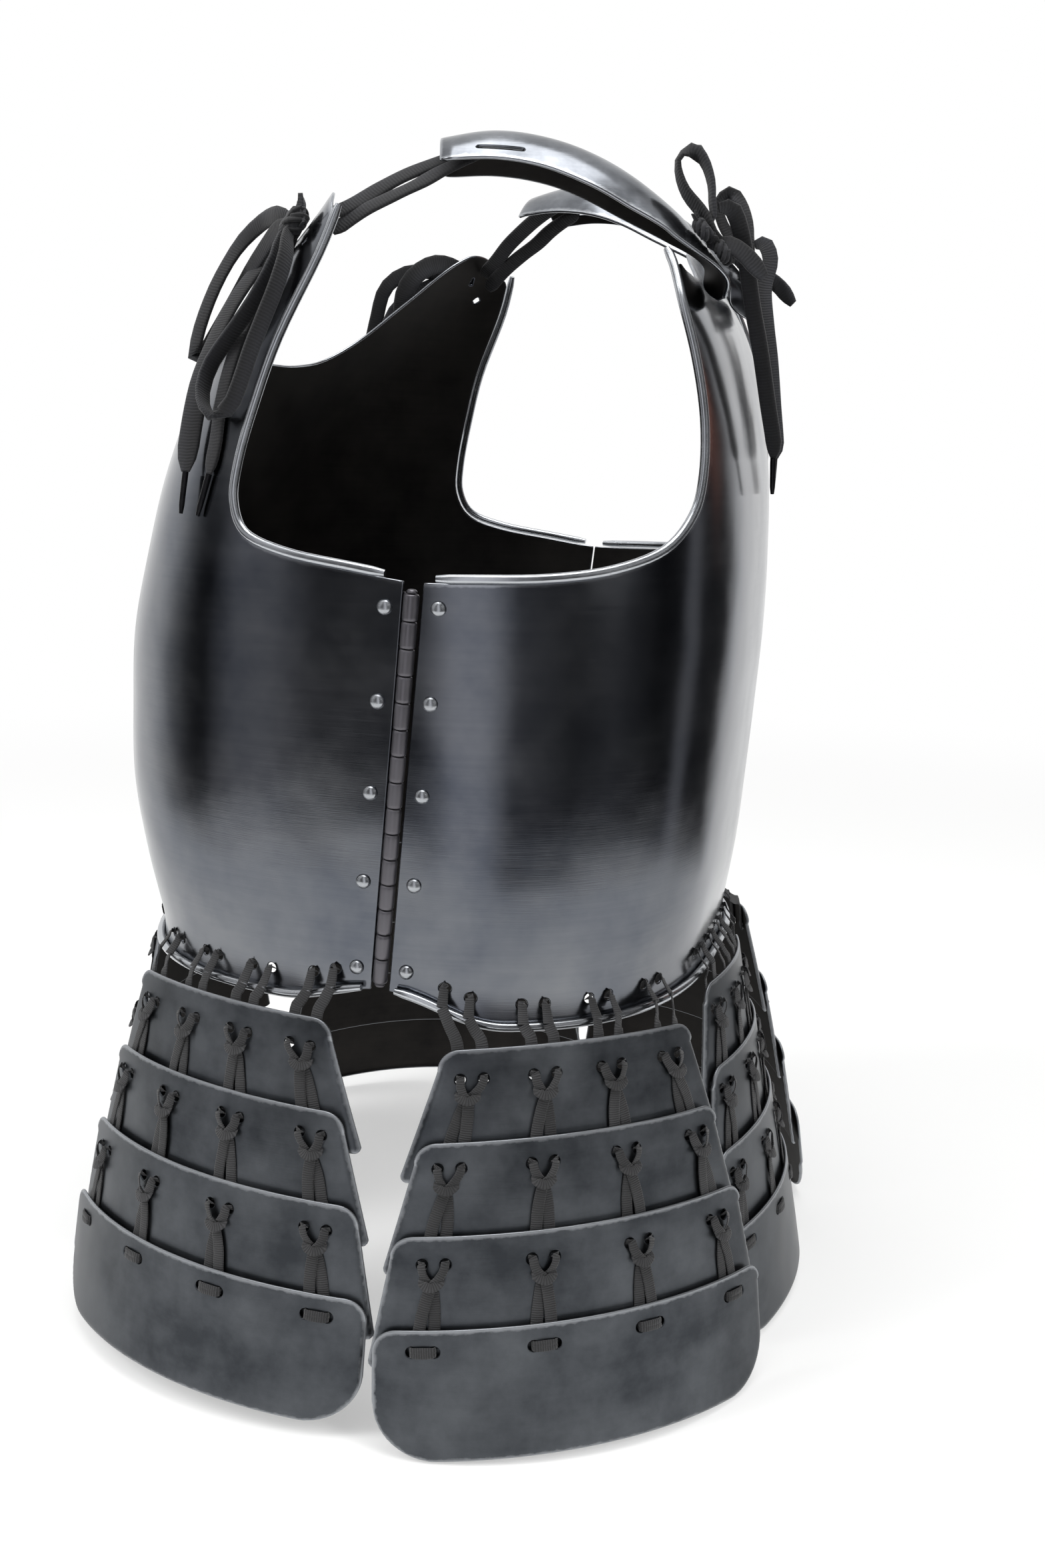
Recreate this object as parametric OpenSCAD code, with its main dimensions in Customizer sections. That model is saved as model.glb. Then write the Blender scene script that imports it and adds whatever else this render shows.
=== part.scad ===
// Samurai body armour: a plate cuirass of two shells with six hanging tassets of four lames each.
// The wearer faces -Y, the wearer's left is +X and up is +Z.
// The origin is where the armour hangs on its stand, midway between the tops of the two straps.

/* [Cuirass] */
// Half width of the waist, at the lower end of the side hinge
waist_half_width = 165; // [155:1:175]
// Half width under the arms, at the upper end of the side hinge
chest_half_width = 175; // [166:1:185]
// Depth of the waist in front of the side line
waist_front = 157; // [148:1:166]
// Depth of the waist behind the side line
waist_back = 145; // [138:1:152]
// Depth of the fullest part of the belly in front of the side line
belly_front = 175; // [168:1:184]
// Depth of the back behind the side line
back_depth = 160; // [153:1:167]
// Thickness of the cuirass plate
shell_plate = 1.6; // [1.2:0.1:2.4]
// Height of the sides from the waist rim to the arm openings
side_height = 195; // [185:1:205]
// How far the waist rim flares outwards
flare_out = 2.5; // [1:0.5:4]
// Radius of the rolled rims
rim_radius = 2.2; // [1.6:0.1:2.6]

/* [Side hinge] */
// Distance of the hinge's ends from the ends of the shells' side edges
hinge_margin = 4.1; // [3.8:0.1:20]
// Radius of the knuckles
knuckle_radius = 3.6; // [3:0.1:4.2]
// Radius of the hinge pin
pin_radius = 1.5; // [1:0.1:2]
// Number of knuckles
knuckle_count = 15; // [7:2:19]
// Width of one leaf from its knuckles to its far edge
leaf_width = 20; // [18:1:26]
// Thickness of a leaf
leaf_plate = 1.2; // [0.8:0.1:1.6]
// Distance of the rivets from the hinge pin
rivet_distance = 12.5; // [11:0.5:14]
// Radius of the domed rivet heads
rivet_radius = 3.6; // [2.5:0.1:4]
// Number of rivets in each leaf
rivet_count = 5; // [3:1:7]

/* [Tassets] */
// Half width of the top edge of the first lame
lame_half_width = 65; // [58:1:68]
// Height of one lame
lame_height = 62; // [56:1:68]
// Distance down the tasset from one lame to the next
lame_pitch = 42.5; // [38:0.5:46]
// Thickness of a lame
lame_plate = 1.6; // [1.2:0.1:2]
// Step outwards from one lame to the next
lame_step = 4; // [3.6:0.1:5]
// Radius that the lames are curved to
lame_bend = 172; // [150:1:200]
// Angle by which the tassets stand out from vertical
tasset_tilt = 10; // [6:0.5:14]
// Drop from the suspension holes to the top edge of the first lame
first_drop = 17; // [15:0.5:22]
// Distance of the first lame from the shell at the suspension holes
tasset_stand_off = 12; // [10:0.5:16]
// Width of the back centre tasset as a share of the others
back_centre_share = 0.82; // [0.75:0.01:0.9]

/* [Lacing] */
// Width of the flat lace
lace_width = 6; // [4:0.5:8]
// Thickness of the flat lace
lace_thick = 1; // [0.6:0.1:1.4]
// Distance between the two holes of a pair
hole_pair = 11; // [9:0.5:14]
// Radius of the lacing holes
lace_hole_radius = 2.6; // [2:0.1:3.2]
// Distance of the first row's columns from each other
column_pitch = 34; // [30:0.5:38]

/* [Shoulder straps] */
// Width of a shoulder strap
strap_width = 47; // [42:1:50]
// Thickness of a shoulder strap
strap_plate = 2; // [1.6:0.1:2.6]
// Length of the two slots near a strap's front end
slot_length = 23; // [16:1:26]
// Width of a slot
slot_width = 2.4; // [2:0.1:3.5]
// Width of the flat tying cord
cord_width = 8.5; // [7:0.5:10]
// Thickness of the flat tying cord
cord_thick = 2.4; // [1.6:0.1:3]

/* [Hidden] */

clearance = 0.3;
far = 400;

// The frame's origin above the waist and behind the side line
rest_y = 50;
rest_z = 392;

// Heights of the sections, every 40 mm from 40 mm under the waist
section_step = 40;
section_low = -40;
half_widths = concat(
    [for (i = [0:6]) waist_half_width + (chest_half_width - waist_half_width) * (i - 1) / 5],
    [for (d = [-3.5, -12, -22, -33, -45]) chest_half_width + d]);
front_depths = concat(
    [waist_front - 7, waist_front, (waist_front + belly_front) / 2 + 2],
    [for (d = [0, -1, -4.5, -15.5, -27.5, -45, -74, -116, -160]) belly_front + d]);
back_depths = concat(
    [waist_back - 6, waist_back, waist_back + 6],
    [for (d = [-5.5, -2.5, 0, 0.5, -1.5, -8, -20, -44, -62]) back_depth + d]);
front_squareness = 2.4;
back_squareness = 2.8;
top_squareness = 4;

function blend(v, i, f) =
    0.5 * (2 * v[i] + (v[i + 1] - v[i - 1]) * f
    + (2 * v[i - 1] - 5 * v[i] + 4 * v[i + 1] - v[i + 2]) * f * f
    + (3 * v[i] - v[i - 1] - 3 * v[i + 1] + v[i + 2]) * f * f * f);
function station(v, z) =
    let (u = max((z - section_low) / section_step, 0.01), i = min(max(floor(u), 1), len(v) - 3))
    blend(v, i, u - i);
// The widths are spread over the height of the sides, which is this many sections
side_sections = 4.875;
function half_width(z) = station(half_widths, z * section_step * side_sections / side_height);
function ramp(t) = let (c = min(max(t, 0), 1)) c * c * (3 - 2 * c);
function unit(v) = v / norm(v);
function power(v, e) = sign(v) * pow(abs(v), e);

// A point of the cuirass surface at an angle round the body, 0 at the front and 90 at the left side
function squareness(angle, z) =
    cos(angle) > 0 ? front_squareness
    : back_squareness + (top_squareness - back_squareness) * ramp((z - 200) / 140);
function skin(angle, z) =
    let (e = 2 / squareness(angle, z), depth = cos(angle) > 0 ? front_depths : back_depths)
    [half_width(z) * power(sin(angle), e), -station(depth, z) * power(cos(angle), e), z];
function skin_normal(angle, z) =
    unit(cross(skin(angle + 0.4, z) - skin(angle - 0.4, z), skin(angle, z + 0.5) - skin(angle, z - 0.5)));
// The surface as seen from the side, for a point given as depth and height, on the left
function skin_at(p, out) = let (a = side_angle(p.x, p.y)) skin(a, p.y) + skin_normal(a, p.y) * out;
function plan_normal(angle, z) = let (d = skin(angle + 0.4, z) - skin(angle - 0.4, z)) unit([d.y, -d.x, 0]);

// The line where the two shells meet leans back a little from the waist up
split_low = 12;
split_lean = 19 / 195;
function split_y(z) = split_low + split_lean * z;
function side_angle(y, z) =
    y < 0 ? acos(pow(-y / station(front_depths, z), squareness(0, z) / 2))
    : 180 - acos(pow(y / station(back_depths, z), squareness(180, z) / 2));

// The waist rim dips to the front and to the back
front_dip = 8;
back_dip = 15;
function rim_z(y) =
    y < split_low ? -front_dip * ramp((split_low - y) / 48) : -back_dip * ramp((y - split_low) / 62);

// Outline of the arm opening seen from the side, from the front tab round to the back tab
arm_floor = side_height + 1;
arm_outline = [
    [-9, 385], [-18, 366], [-27, 340], [-44, 303], [-54, 271], [-60, 246], [-61, 228],
    [-53, arm_floor + 17], [-31, arm_floor + 9], [0, arm_floor + 4], [30, arm_floor], [60, arm_floor],
    [90, arm_floor + 1], [115, arm_floor + 5], [134, arm_floor + 14], [144, 226], [147, 245],
    [146, 270], [141, 297], [134, 320], [126, 340], [116, 356]];
// Outlines of the upper edges seen from the front, from the middle outwards
front_neck = [[0, 300], [30, 301], [56, 306], [76, 320], [87, 340], [95, 358], [104, 368], [114, 371],
    [126, 368], [140, 356]];
back_neck = [[0, 357], [14, 355], [26, 350], [36, 342], [46, 339], [58, 340], [70, 345], [82, 350], [94, 348],
    [106, 337], [120, 316]];
hem_height = 18;
function smooth_path(p, n) = [
    for (i = [0:len(p) - 2], j = [0:n - 1])
        let (f = j / n, a = i == 0 ? 2 * p[0] - p[1] : p[i - 1],
             d = i == len(p) - 2 ? 2 * p[i + 1] - p[i] : p[i + 2])
        0.5 * (2 * p[i] + (p[i + 1] - a) * f + (2 * a - 5 * p[i] + 4 * p[i + 1] - d) * f * f
        + (3 * p[i] - a - 3 * p[i + 1] + d) * f * f * f),
    p[len(p) - 1]];

// Gaps from the line between the shells to a shell's edge and to the cut ends of the rims,
// wide beside the hinge and narrow on the side that is tied shut
edge_gap = knuckle_radius + 0.9;
rim_gap = knuckle_radius + 4.4;
seam_gap = 0.4;
seam_rim_gap = 1;

// Moves the cuirass's own coordinates to the frame's origin
module in_frame() {
    translate([0, -rest_y, -rest_z]) children();
}

// A closed plate between an outer and an inner grid of points
module plate_of(outer, inner) {
    rows = len(outer);
    cols = len(outer[0]);
    total = rows * cols;
    points = concat([for (r = outer, p = r) p], [for (r = inner, p = r) p]);
    faces = concat(
        [for (j = [0:rows - 2], i = [0:cols - 2], h = [0, 1])
            let (a = j * cols + i, b = a + 1, c = a + cols + 1, d = a + cols) h == 0 ? [a, c, b] : [a, d, c]],
        [for (j = [0:rows - 2], i = [0:cols - 2], h = [0, 1])
            let (a = total + j * cols + i, b = a + 1, c = a + cols + 1, d = a + cols)
            h == 0 ? [a, b, c] : [a, c, d]],
        [for (i = [0:cols - 2], h = [0, 1])
            let (a = i, b = i + 1, c = total + i, d = total + i + 1) h == 0 ? [a, b, d] : [a, d, c]],
        [for (i = [0:cols - 2], h = [0, 1])
            let (a = (rows - 1) * cols + i, b = a + 1, c = a + total, d = b + total)
            h == 0 ? [a, d, b] : [a, c, d]],
        [for (j = [0:rows - 2], h = [0, 1])
            let (a = j * cols, b = a + cols, c = a + total, d = b + total) h == 0 ? [a, d, b] : [a, c, d]],
        [for (j = [0:rows - 2], h = [0, 1])
            let (a = (j + 1) * cols - 1, b = a + cols, c = a + total, d = b + total)
            h == 0 ? [a, b, d] : [a, d, c]]);
    polyhedron(points, faces, convexity = 8);
}

// A closed tube through rings of points
module tube_of(rings) {
    sides = len(rings[0]);
    last = len(rings) - 1;
    points = [for (r = rings, p = r) p];
    faces = concat(
        [[for (i = [0:sides - 1]) i]],
        [for (j = [0:last - 1], i = [0:sides - 1], h = [0, 1])
            let (a = j * sides + i, b = j * sides + (i + 1) % sides, c = a + sides, d = b + sides)
            h == 0 ? [a, d, b] : [a, c, d]],
        [[for (i = [sides - 1:-1:0]) last * sides + i]]);
    polyhedron(points, faces, convexity = 6);
}

// A tube of oval section along a path, its wide side held along a given direction
module cord_along(path, wide_axis, wide, thick) {
    sides = 8;
    last = len(path) - 1;
    tube_of([for (i = [0:last])
        let (dir = unit(path[min(i + 1, last)] - path[max(i - 1, 0)]),
             across = unit(wide_axis - dir * (wide_axis * dir)), up = cross(dir, across))
        [for (s = [0:sides - 1])
            path[i] + across * cos(s * 360 / sides) * wide / 2 + up * sin(s * 360 / sides) * thick / 2]]);
}

// Columns of a shell's grid run from the wearer's right to the left, rows from the waist rim up
row_heights = concat([0, 5, 11, 18], [for (h = [40:24:208]) h],
    [230, 250, 268, 286, 302, 318, 332, 345, 358, 373]);
shell_columns = 32;
rim_blend = 70;
// The hem's flare fades out beside the hinge, where the leaves and rivets lie flat
flare_fade = 30;
function hem_flare(h, y) =
    flare_out * pow(max(0, 1 - h / hem_height), 2) * ramp((abs(y - split_low) - leaf_width) / flare_fade);
function shell_row_z(h, base) = h + rim_z(base.y) * max(0, 1 - h / rim_blend);
function shell_angle(i, h, front) =
    let (t = 2 * i / shell_columns - 1, gap = t < 0 ? seam_gap : edge_gap,
         edge = side_angle(split_y(h) + (front ? -gap : gap), h))
    front ? t * edge : 180 - t * (180 - edge);
function shell_point(i, h, front, out) =
    let (angle = shell_angle(i, h, front), base = skin(angle, 0), z = shell_row_z(h, base))
    skin(angle, z) + skin_normal(angle, z) * (out + hem_flare(h, base.y));
module shell_plate_blank(front) {
    layers = [for (out = [shell_plate / 2, -shell_plate / 2])
        [for (h = row_heights) [for (i = [0:shell_columns]) shell_point(i, h, front, out)]]];
    plate_of(layers[front ? 0 : 1], layers[front ? 1 : 0]);
}

// The arm openings are cut from the sides as far in as this half width
arm_cut_half = 50;
module arm_cut() {
    outline = smooth_path(arm_outline, 2);
    for (side = [-1, 1])
        rotate([90, 0, 90])
            translate([0, 0, side > 0 ? arm_cut_half : -arm_cut_half - far])
                linear_extrude(far) polygon(concat(outline, [[116, far + 40], [-9, far + 40]]));
}
module neck_cut(half_outline, front) {
    half = smooth_path(half_outline, 2);
    last = half[len(half) - 1];
    mirrored = [for (i = [len(half) - 1:-1:1]) [-half[i].x, half[i].y]];
    rotate([90, 0, 0])
        translate([0, 0, front ? 0 : -far])
            linear_extrude(far)
                polygon(concat([[-last.x, far + 40]], mirrored, half, [[last.x, far + 40]]));
}

// Tassets: 1 front centre, 2 front left, 3 back left, 4 back centre, 5 back right, 6 front right
tasset_depth = [-67, 99];
tasset_angle = [0, side_angle(tasset_depth[0], 0), side_angle(tasset_depth[1], 0),
    180, 360 - side_angle(tasset_depth[1], 0), 360 - side_angle(tasset_depth[0], 0)];
tasset_share = [1, 1, 1, back_centre_share, 1, 1];
hole_rise = 12;
function tasset_origin(t) = let (p = skin(tasset_angle[t], 0)) skin(tasset_angle[t], rim_z(p.y) + hole_rise);
function tasset_turn(t) = let (n = plan_normal(tasset_angle[t], 0)) atan2(n.x, -n.y);
function along(t) = [cos(tasset_turn(t)), sin(tasset_turn(t)), 0];
function outward(t) = [sin(tasset_turn(t)), -cos(tasset_turn(t)), 0];
// The angle at which the waist lies a distance to one side of a tasset's middle
function angle_beside(t, x, guess, tries) =
    let (p = skin(guess, 0) - skin(tasset_angle[t], 0), q = skin(guess + 0.5, 0) - skin(guess, 0),
         next = guess + 0.5 * (x - p * along(t)) / (q * along(t)))
    tries == 0 ? next : angle_beside(t, x, next, tries - 1);
function column_x(t, k, j) =
    (j - 1.5) * tasset_share[t] * [column_pitch, column_pitch + 8.5, column_pitch + 15, column_pitch + 20][k];
function hanger_angle(t, x) = angle_beside(t, x, tasset_angle[t] + x * 0.35, 6);
function hanger(t, x) = let (a = hanger_angle(t, x)) skin(a, rim_z(skin(a, 0).y) + hole_rise);

module hanger_holes(list) {
    for (t = list, j = [0:3], s = [-1, 1]) {
        x = column_x(t, 0, j) + s * hole_pair / 2;
        h = hanger(t, x);
        translate(h)
            rotate([90, 0, tasset_turn(t)])
                cylinder(r = lace_hole_radius, h = 30, center = true, $fn = 24);
    }
}

// Stands children on the cuirass at a point of its side view, with z outwards from the plate's middle
module on_skin(p) {
    n = skin_normal(side_angle(p.x, p.y), p.y);
    translate(skin_at(p, 0)) rotate([0, acos(n.z), atan2(n.y, n.x)]) children();
}
// Holes in the front tabs for the tying cords, in the side view
tab_holes = [[-39, 357], [-39, 347]];
tab_hole_radius = 2.4;
module front_tab_holes() {
    for (p = tab_holes, m = [0, 1])
        mirror([m, 0, 0]) on_skin(p) cylinder(r = tab_hole_radius, h = 12, center = true, $fn = 24);
}

module front_shell() {
    color("#3c3e40")
        in_frame()
            difference() {
                shell_plate_blank(true);
                arm_cut();
                neck_cut(front_neck, true);
                hanger_holes([0, 1, 5]);
                front_tab_holes();
                at_hinge_rivets(-1) rivet_hole();
            }
}
module back_shell() {
    color("#3c3e40")
        in_frame()
            difference() {
                shell_plate_blank(false);
                arm_cut();
                neck_cut(back_neck, false);
                hanger_holes([2, 3, 4]);
                at_hinge_rivets(1) rivet_hole();
            }
}

// Rolled rims lie on the outside of the plate along its edges
rim_out = shell_plate / 2 + rim_radius + clearance;
function hem_point(angle, out) =
    let (y = skin(angle, 0).y, z = rim_z(y) + rim_radius)
    skin(angle, z) + skin_normal(angle, z) * (out + hem_flare(rim_radius, y));
module hem_rim(front) {
    path = [for (i = [0:36])
        let (t = i / 18 - 1, gap = t < 0 ? seam_rim_gap : rim_gap,
             edge = side_angle(split_y(0) + (front ? -gap : gap), 0),
             angle = front ? t * edge : 180 - t * (180 - edge))
        hem_point(angle, rim_out)];
    cord_along(path, [0, 0, 1], 2 * rim_radius, 2 * rim_radius);
}
front_rim_top = 362;
front_rim_inset = 0.8;
back_rim_top = 346;
function in_rim(q, front, gap) =
    front ? q.x < split_y(arm_floor) - gap && q.y < front_rim_top
    : q.x > split_y(arm_floor) + gap && q.y < back_rim_top;
module arm_rim(front, gap) {
    outline = smooth_path(arm_outline, 2);
    last = len(outline) - 1;
    path = [for (i = [0:last])
        let (d = unit(outline[min(i + 1, last)] - outline[max(i - 1, 0)]),
             q = outline[i] - rim_radius * [d.y, -d.x])
        if (in_rim(q, front, gap)) skin_at(q, rim_out - (front ? front_rim_inset : 0))];
    cord_along(path, [1, 0, 0.01], 2 * rim_radius, 2 * rim_radius);
}
module shell_rims(front) {
    hem_rim(front);
    arm_rim(front, rim_gap);
    mirror([1, 0, 0]) arm_rim(front, seam_rim_gap);
}
module front_shell_rims() {
    color("#8d9094") in_frame() shell_rims(true);
}
module back_shell_rims() {
    color("#8d9094") in_frame() shell_rims(false);
}

// The hinge stands on a straight line that leans with the shells' side edges
hinge_low = [half_width(0), split_low, 0];
hinge_high = [half_width(side_height), split_y(side_height), side_height];
hinge_dir = unit(hinge_high - hinge_low);
hinge_start = hinge_margin;
hinge_length = norm(hinge_high - hinge_low) - 2 * hinge_margin;
// The leaves lie inside the shells and follow them, and the knuckles stand in the gap
leaf_gap = 0.6;
leaf_depth = shell_plate / 2 + leaf_gap + leaf_plate;
leaf_edge = knuckle_radius + clearance;
pin_out = knuckle_radius - leaf_depth;
pin_play = 0.15;
pin_head = 1.2;
pin_head_height = 1.4;
knuckle_step = hinge_length / knuckle_count;
knuckle_end_gap = 0.4;
rivet_shank = 1.5;
rivet_tail = 2.8;
rivet_tail_height = 1.3;
rivet_seat = 0.25;
rivet_margin = 0.035;
// The dome of a rivet is part of a sphere: its centre's drop and its radius as shares of the head's radius
dome_drop = 0.6;
dome_share = 1.17;
module hinge_place() {
    translate(hinge_low)
        rotate([-atan2(hinge_dir.y, hinge_dir.z), asin(hinge_dir.x), 0])
            translate([pin_out, 0, hinge_start])
                children();
}
function hinge_z(share) = (hinge_start + hinge_length * share) * hinge_dir.z;
module at_hinge_rivets(side) {
    for (i = [0:rivet_count - 1]) {
        z = hinge_z(rivet_margin + (1 - 2 * rivet_margin) * i / (rivet_count - 1));
        on_skin([split_y(z) + side * rivet_distance, z]) children();
    }
}
module rivet_hole() {
    cylinder(r = rivet_shank + 0.2, h = 16, center = true, $fn = 24);
}
// A rivet through the leaf and the shell, domed outside and flat inside
module rivet() {
    inner = -leaf_depth - rivet_seat;
    outer = shell_plate / 2 + rivet_seat;
    translate([0, 0, inner - rivet_tail_height]) cylinder(r = rivet_tail, h = rivet_tail_height, $fn = 24);
    translate([0, 0, inner - 0.5]) cylinder(r = rivet_shank, h = outer - inner + 1, $fn = 24);
    translate([0, 0, outer])
        rotate_extrude($fn = 32)
            intersection() {
                translate([0, -rivet_radius * dome_drop]) circle(r = rivet_radius * dome_share, $fn = 48);
                square([rivet_radius, rivet_radius]);
            }
}
// The sheet of a leaf, from the knuckles to its far edge, formed to the shell
module leaf_sheet(side) {
    columns = 3;
    rows = 8;
    grid = [for (out = [leaf_plate - leaf_depth, -leaf_depth]) [for (j = [0:rows])
        let (z = hinge_z(j / rows))
        [for (i = [0:columns])
            let (share = side > 0 ? i / columns : 1 - i / columns)
            skin_at([split_y(z) + side * (leaf_edge + (leaf_width - leaf_edge) * share), z], out)]]];
    plate_of(grid[0], grid[1]);
}
module hinge_leaf(side) {
    reach = edge_gap - 0.1;
    difference() {
        union() {
            leaf_sheet(side);
            hinge_place()
                for (i = [side < 0 ? 0 : 1:2:knuckle_count - 1])
                    translate([0, 0, i * knuckle_step + knuckle_end_gap / 2]) {
                        cylinder(r = knuckle_radius, h = knuckle_step - knuckle_end_gap, $fn = 32);
                        translate([-knuckle_radius, side > 0 ? 0 : -reach, 0])
                            cube([leaf_plate, reach, knuckle_step - knuckle_end_gap]);
                    }
        }
        hinge_place()
            translate([0, 0, -1]) cylinder(r = pin_radius + pin_play, h = hinge_length + 2, $fn = 32);
        at_hinge_rivets(side) rivet_hole();
    }
}
module hinge_front_leaf() {
    color("#5b554c") in_frame() hinge_leaf(-1);
}
module hinge_back_leaf() {
    color("#5b554c") in_frame() hinge_leaf(1);
}
module hinge_pin() {
    end = 0.4;
    color("#6f6a60")
        in_frame()
            hinge_place() {
                translate([0, 0, -end]) cylinder(r = pin_radius, h = hinge_length + 2 * end, $fn = 32);
                for (z = [-end - pin_head_height, hinge_length + end])
                    translate([0, 0, z]) cylinder(r = pin_radius + pin_head, h = pin_head_height, $fn = 32);
            }
}
module front_hinge_rivets() {
    color("#8d9094") in_frame() at_hinge_rivets(-1) rivet();
}
module back_hinge_rivets() {
    color("#8d9094") in_frame() at_hinge_rivets(1) rivet();
}

// Stands children at a tasset's pivot, with x along the waist, -y outwards and z up the tasset
module tasset_place(t) {
    in_frame()
        translate(tasset_origin(t))
            rotate([0, 0, tasset_turn(t)])
                rotate([-tasset_tilt, 0, 0])
                    children();
}
bend_centre = lame_bend - tasset_stand_off;
function lame_radius(k) = lame_bend + lame_step * k;
function lame_top(k) = first_drop + lame_pitch * k;
function lame_top_half(t, k) = tasset_share[t] * (lame_half_width + [0, 13, 26, 36][k]);
function lame_low_half(t, k) = tasset_share[t] * (lame_half_width + [19, 29, 38, 38][k]);
function corner(c, r, from, steps) =
    [for (i = [0:steps]) let (a = from + 90 * i / steps) c + r * [cos(a), sin(a)]];
// Outline of a lame: a trapezoid with round top corners, and round lower corners on the last
module lame_outline(t, k) {
    a = lame_top_half(t, k);
    b = lame_low_half(t, k);
    top = -lame_top(k);
    low = top - lame_height;
    r = 10;
    q = k == 3 ? 26 : 3;
    polygon(concat(
        corner([a - r + 1, top - r], r, 0, 5),
        corner([-a + r - 1, top - r], r, 90, 5),
        corner([-b + q, low + q], q, 180, 6),
        corner([b - q, low + q], q, 270, 6)));
}
lace_drop = [14, 12, 13, 10];
module lame(t, k) {
    low = -lame_top(k) - lame_height;
    tasset_place(t)
        difference() {
            intersection() {
                translate([0, bend_centre, low - 1])
                    difference() {
                        cylinder(r = lame_radius(k) + lame_plate / 2, h = lame_height + 2, $fn = 180);
                        translate([0, 0, -1])
                            cylinder(r = lame_radius(k) - lame_plate / 2, h = lame_height + 4, $fn = 180);
                    }
                translate([0, 60, 0]) rotate([90, 0, 0]) linear_extrude(120) lame_outline(t, k);
            }
            for (j = [0:3], s = [-1, 1])
                column_place(t, k, j)
                    translate([s * hole_pair / 2, 10, -lace_drop[k]])
                        rotate([90, 0, 0]) cylinder(r = lace_hole_radius, h = 20, $fn = 24);
        }
}
// Stands children on the outer face of lame k at column j, with -y away from the plate
module column_place(t, k, j) {
    turn = asin(column_x(t, k, j) / lame_radius(k));
    translate([0, bend_centre, -lame_top(k)])
        rotate([0, 0, turn])
            translate([0, -lame_radius(k) - lame_plate / 2, 0])
                children();
}
// A flat bar that starts at a point and runs down, leaning outwards by one angle and sideways by another
module lace_bar(start, lean, skew, length) {
    translate(start)
        rotate([-lean, skew, 0])
            translate([-lace_width / 2, -lace_thick, -length]) cube([lace_width, lace_thick, length]);
}
// Crossed knots over the hole pairs of lame k, and the two strands down behind the next lame, which lean
// inwards as far as the lame's face curves away under them
strand_offset = 4;
strand_start = 7;
knot_bar = [5, 3, 38, 12];
lace_seat = 0.1;
module lame_laces(t, k) {
    spread = atan((column_x(t, k + 1, 3) - column_x(t, k, 3)) / lame_pitch) / 1.5;
    run = lame_pitch + lace_drop[k + 1] - lace_drop[k] - 1;
    for (j = [0:3])
        column_place(t, k, j) {
            for (s = [-1, 1]) {
                skew = -s * strand_offset - (j - 1.5) * spread;
                end = s * strand_offset - run * sin(skew);
                lean = -atan((end * end - strand_offset * strand_offset) / (2 * lame_radius(k)) / run);
                lace_bar([s * strand_offset, -clearance, -lace_drop[k] - strand_start], lean, skew, run);
            }
            for (s = [-1, 1])
                lace_bar([s * knot_bar[0], -clearance - (s + 3) / 2 * (lace_thick + lace_seat),
                    -lace_drop[k] + knot_bar[1]], 0, s * knot_bar[2], knot_bar[3]);
        }
}
// Strands from the shell's holes, out over the rolled rim and down behind the first lame
rim_face = rim_out + rim_radius + lace_thick / 2 + 2 * clearance;
function tilted(p) = [p.x, p.y * cos(tasset_tilt) + p.z * sin(tasset_tilt),
    p.z * cos(tasset_tilt) - p.y * sin(tasset_tilt)];
function behind_lame(x, drop) =
    let (r = lame_bend - lame_plate / 2 - clearance - lace_thick / 2)
    tilted([x, bend_centre - sqrt(r * r - x * x), -drop]);
// A flat strip through points, its face turned about the upright by an angle at each
module flat_lace(path, turns) {
    half = [[-1, 1], [1, 1], [1, -1], [-1, -1]];
    tube_of([for (i = [0:len(path) - 1])
        let (w = [cos(turns[i]), sin(turns[i]), 0] * lace_width / 2,
             n = [-sin(turns[i]), cos(turns[i]), 0] * lace_thick / 2)
        [for (h = half) path[i] + h.x * w + h.y * n]]);
}
// Stands children at a tasset's middle hole, upright, with x along the waist and -y outwards
module at_tasset(t) {
    in_frame() translate(tasset_origin(t)) rotate([0, 0, tasset_turn(t)]) children();
}
function hanger_turn(t, x) = asin(plan_normal(hanger_angle(t, x), 0) * along(t));
// A point outside the shell by a distance, below the hole at x, where the hem flares as at height h
function hanger_point(t, x, out, down, h) =
    let (hole = hanger(t, x), p = hole - tasset_origin(t), a = hanger_turn(t, x), d = out + hem_flare(h, hole.y))
    [x + sin(a) * d, -p * outward(t) - cos(a) * d, p.z - down];
function hanger_top(t, x) =
    hanger_point(t, x, shell_plate / 2 + lace_thick / 2 + 2 * clearance, -1, hole_rise);
function hanger_bend(t, x) = hanger_point(t, x, rim_face, hole_rise - 2 * rim_radius, 0);
function hanger_xs(t) = [for (j = [0:3], s = [-1, 1]) column_x(t, 0, j) + s * hole_pair / 2];
// The strands from the shell's holes to where they bend at the rolled rim
bend_gap = 0.6;
module hanger_laces(list) {
    color("#232326")
        for (t = list)
            at_tasset(t)
                for (x = hanger_xs(t)) {
                    top = hanger_top(t, x);
                    bend = hanger_bend(t, x);
                    flat_lace([top, bend + unit(top - bend) * bend_gap], [hanger_turn(t, x), hanger_turn(t, x)]);
                }
}
module front_hanger_laces() {
    hanger_laces([0, 1, 5]);
}
module back_hanger_laces() {
    hanger_laces([2, 3, 4]);
}
// The strands from the rolled rim down behind the first lame
module first_lame_strands(t) {
    at_tasset(t)
        for (x = hanger_xs(t)) {
            turn = asin(x / lame_bend);
            flat_lace([hanger_bend(t, x), behind_lame(x, first_drop - 2),
                behind_lame(x, first_drop + lace_drop[0] + 2)], [hanger_turn(t, x), turn, turn]);
        }
}
module tasset_lame(t, k) {
    color("#595f6b") lame(t, k);
}
module tasset_laces(t, k) {
    color("#232326") {
        if (k == 0) first_lame_strands(t);
        tasset_place(t) lame_laces(t, k);
    }
}

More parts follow.
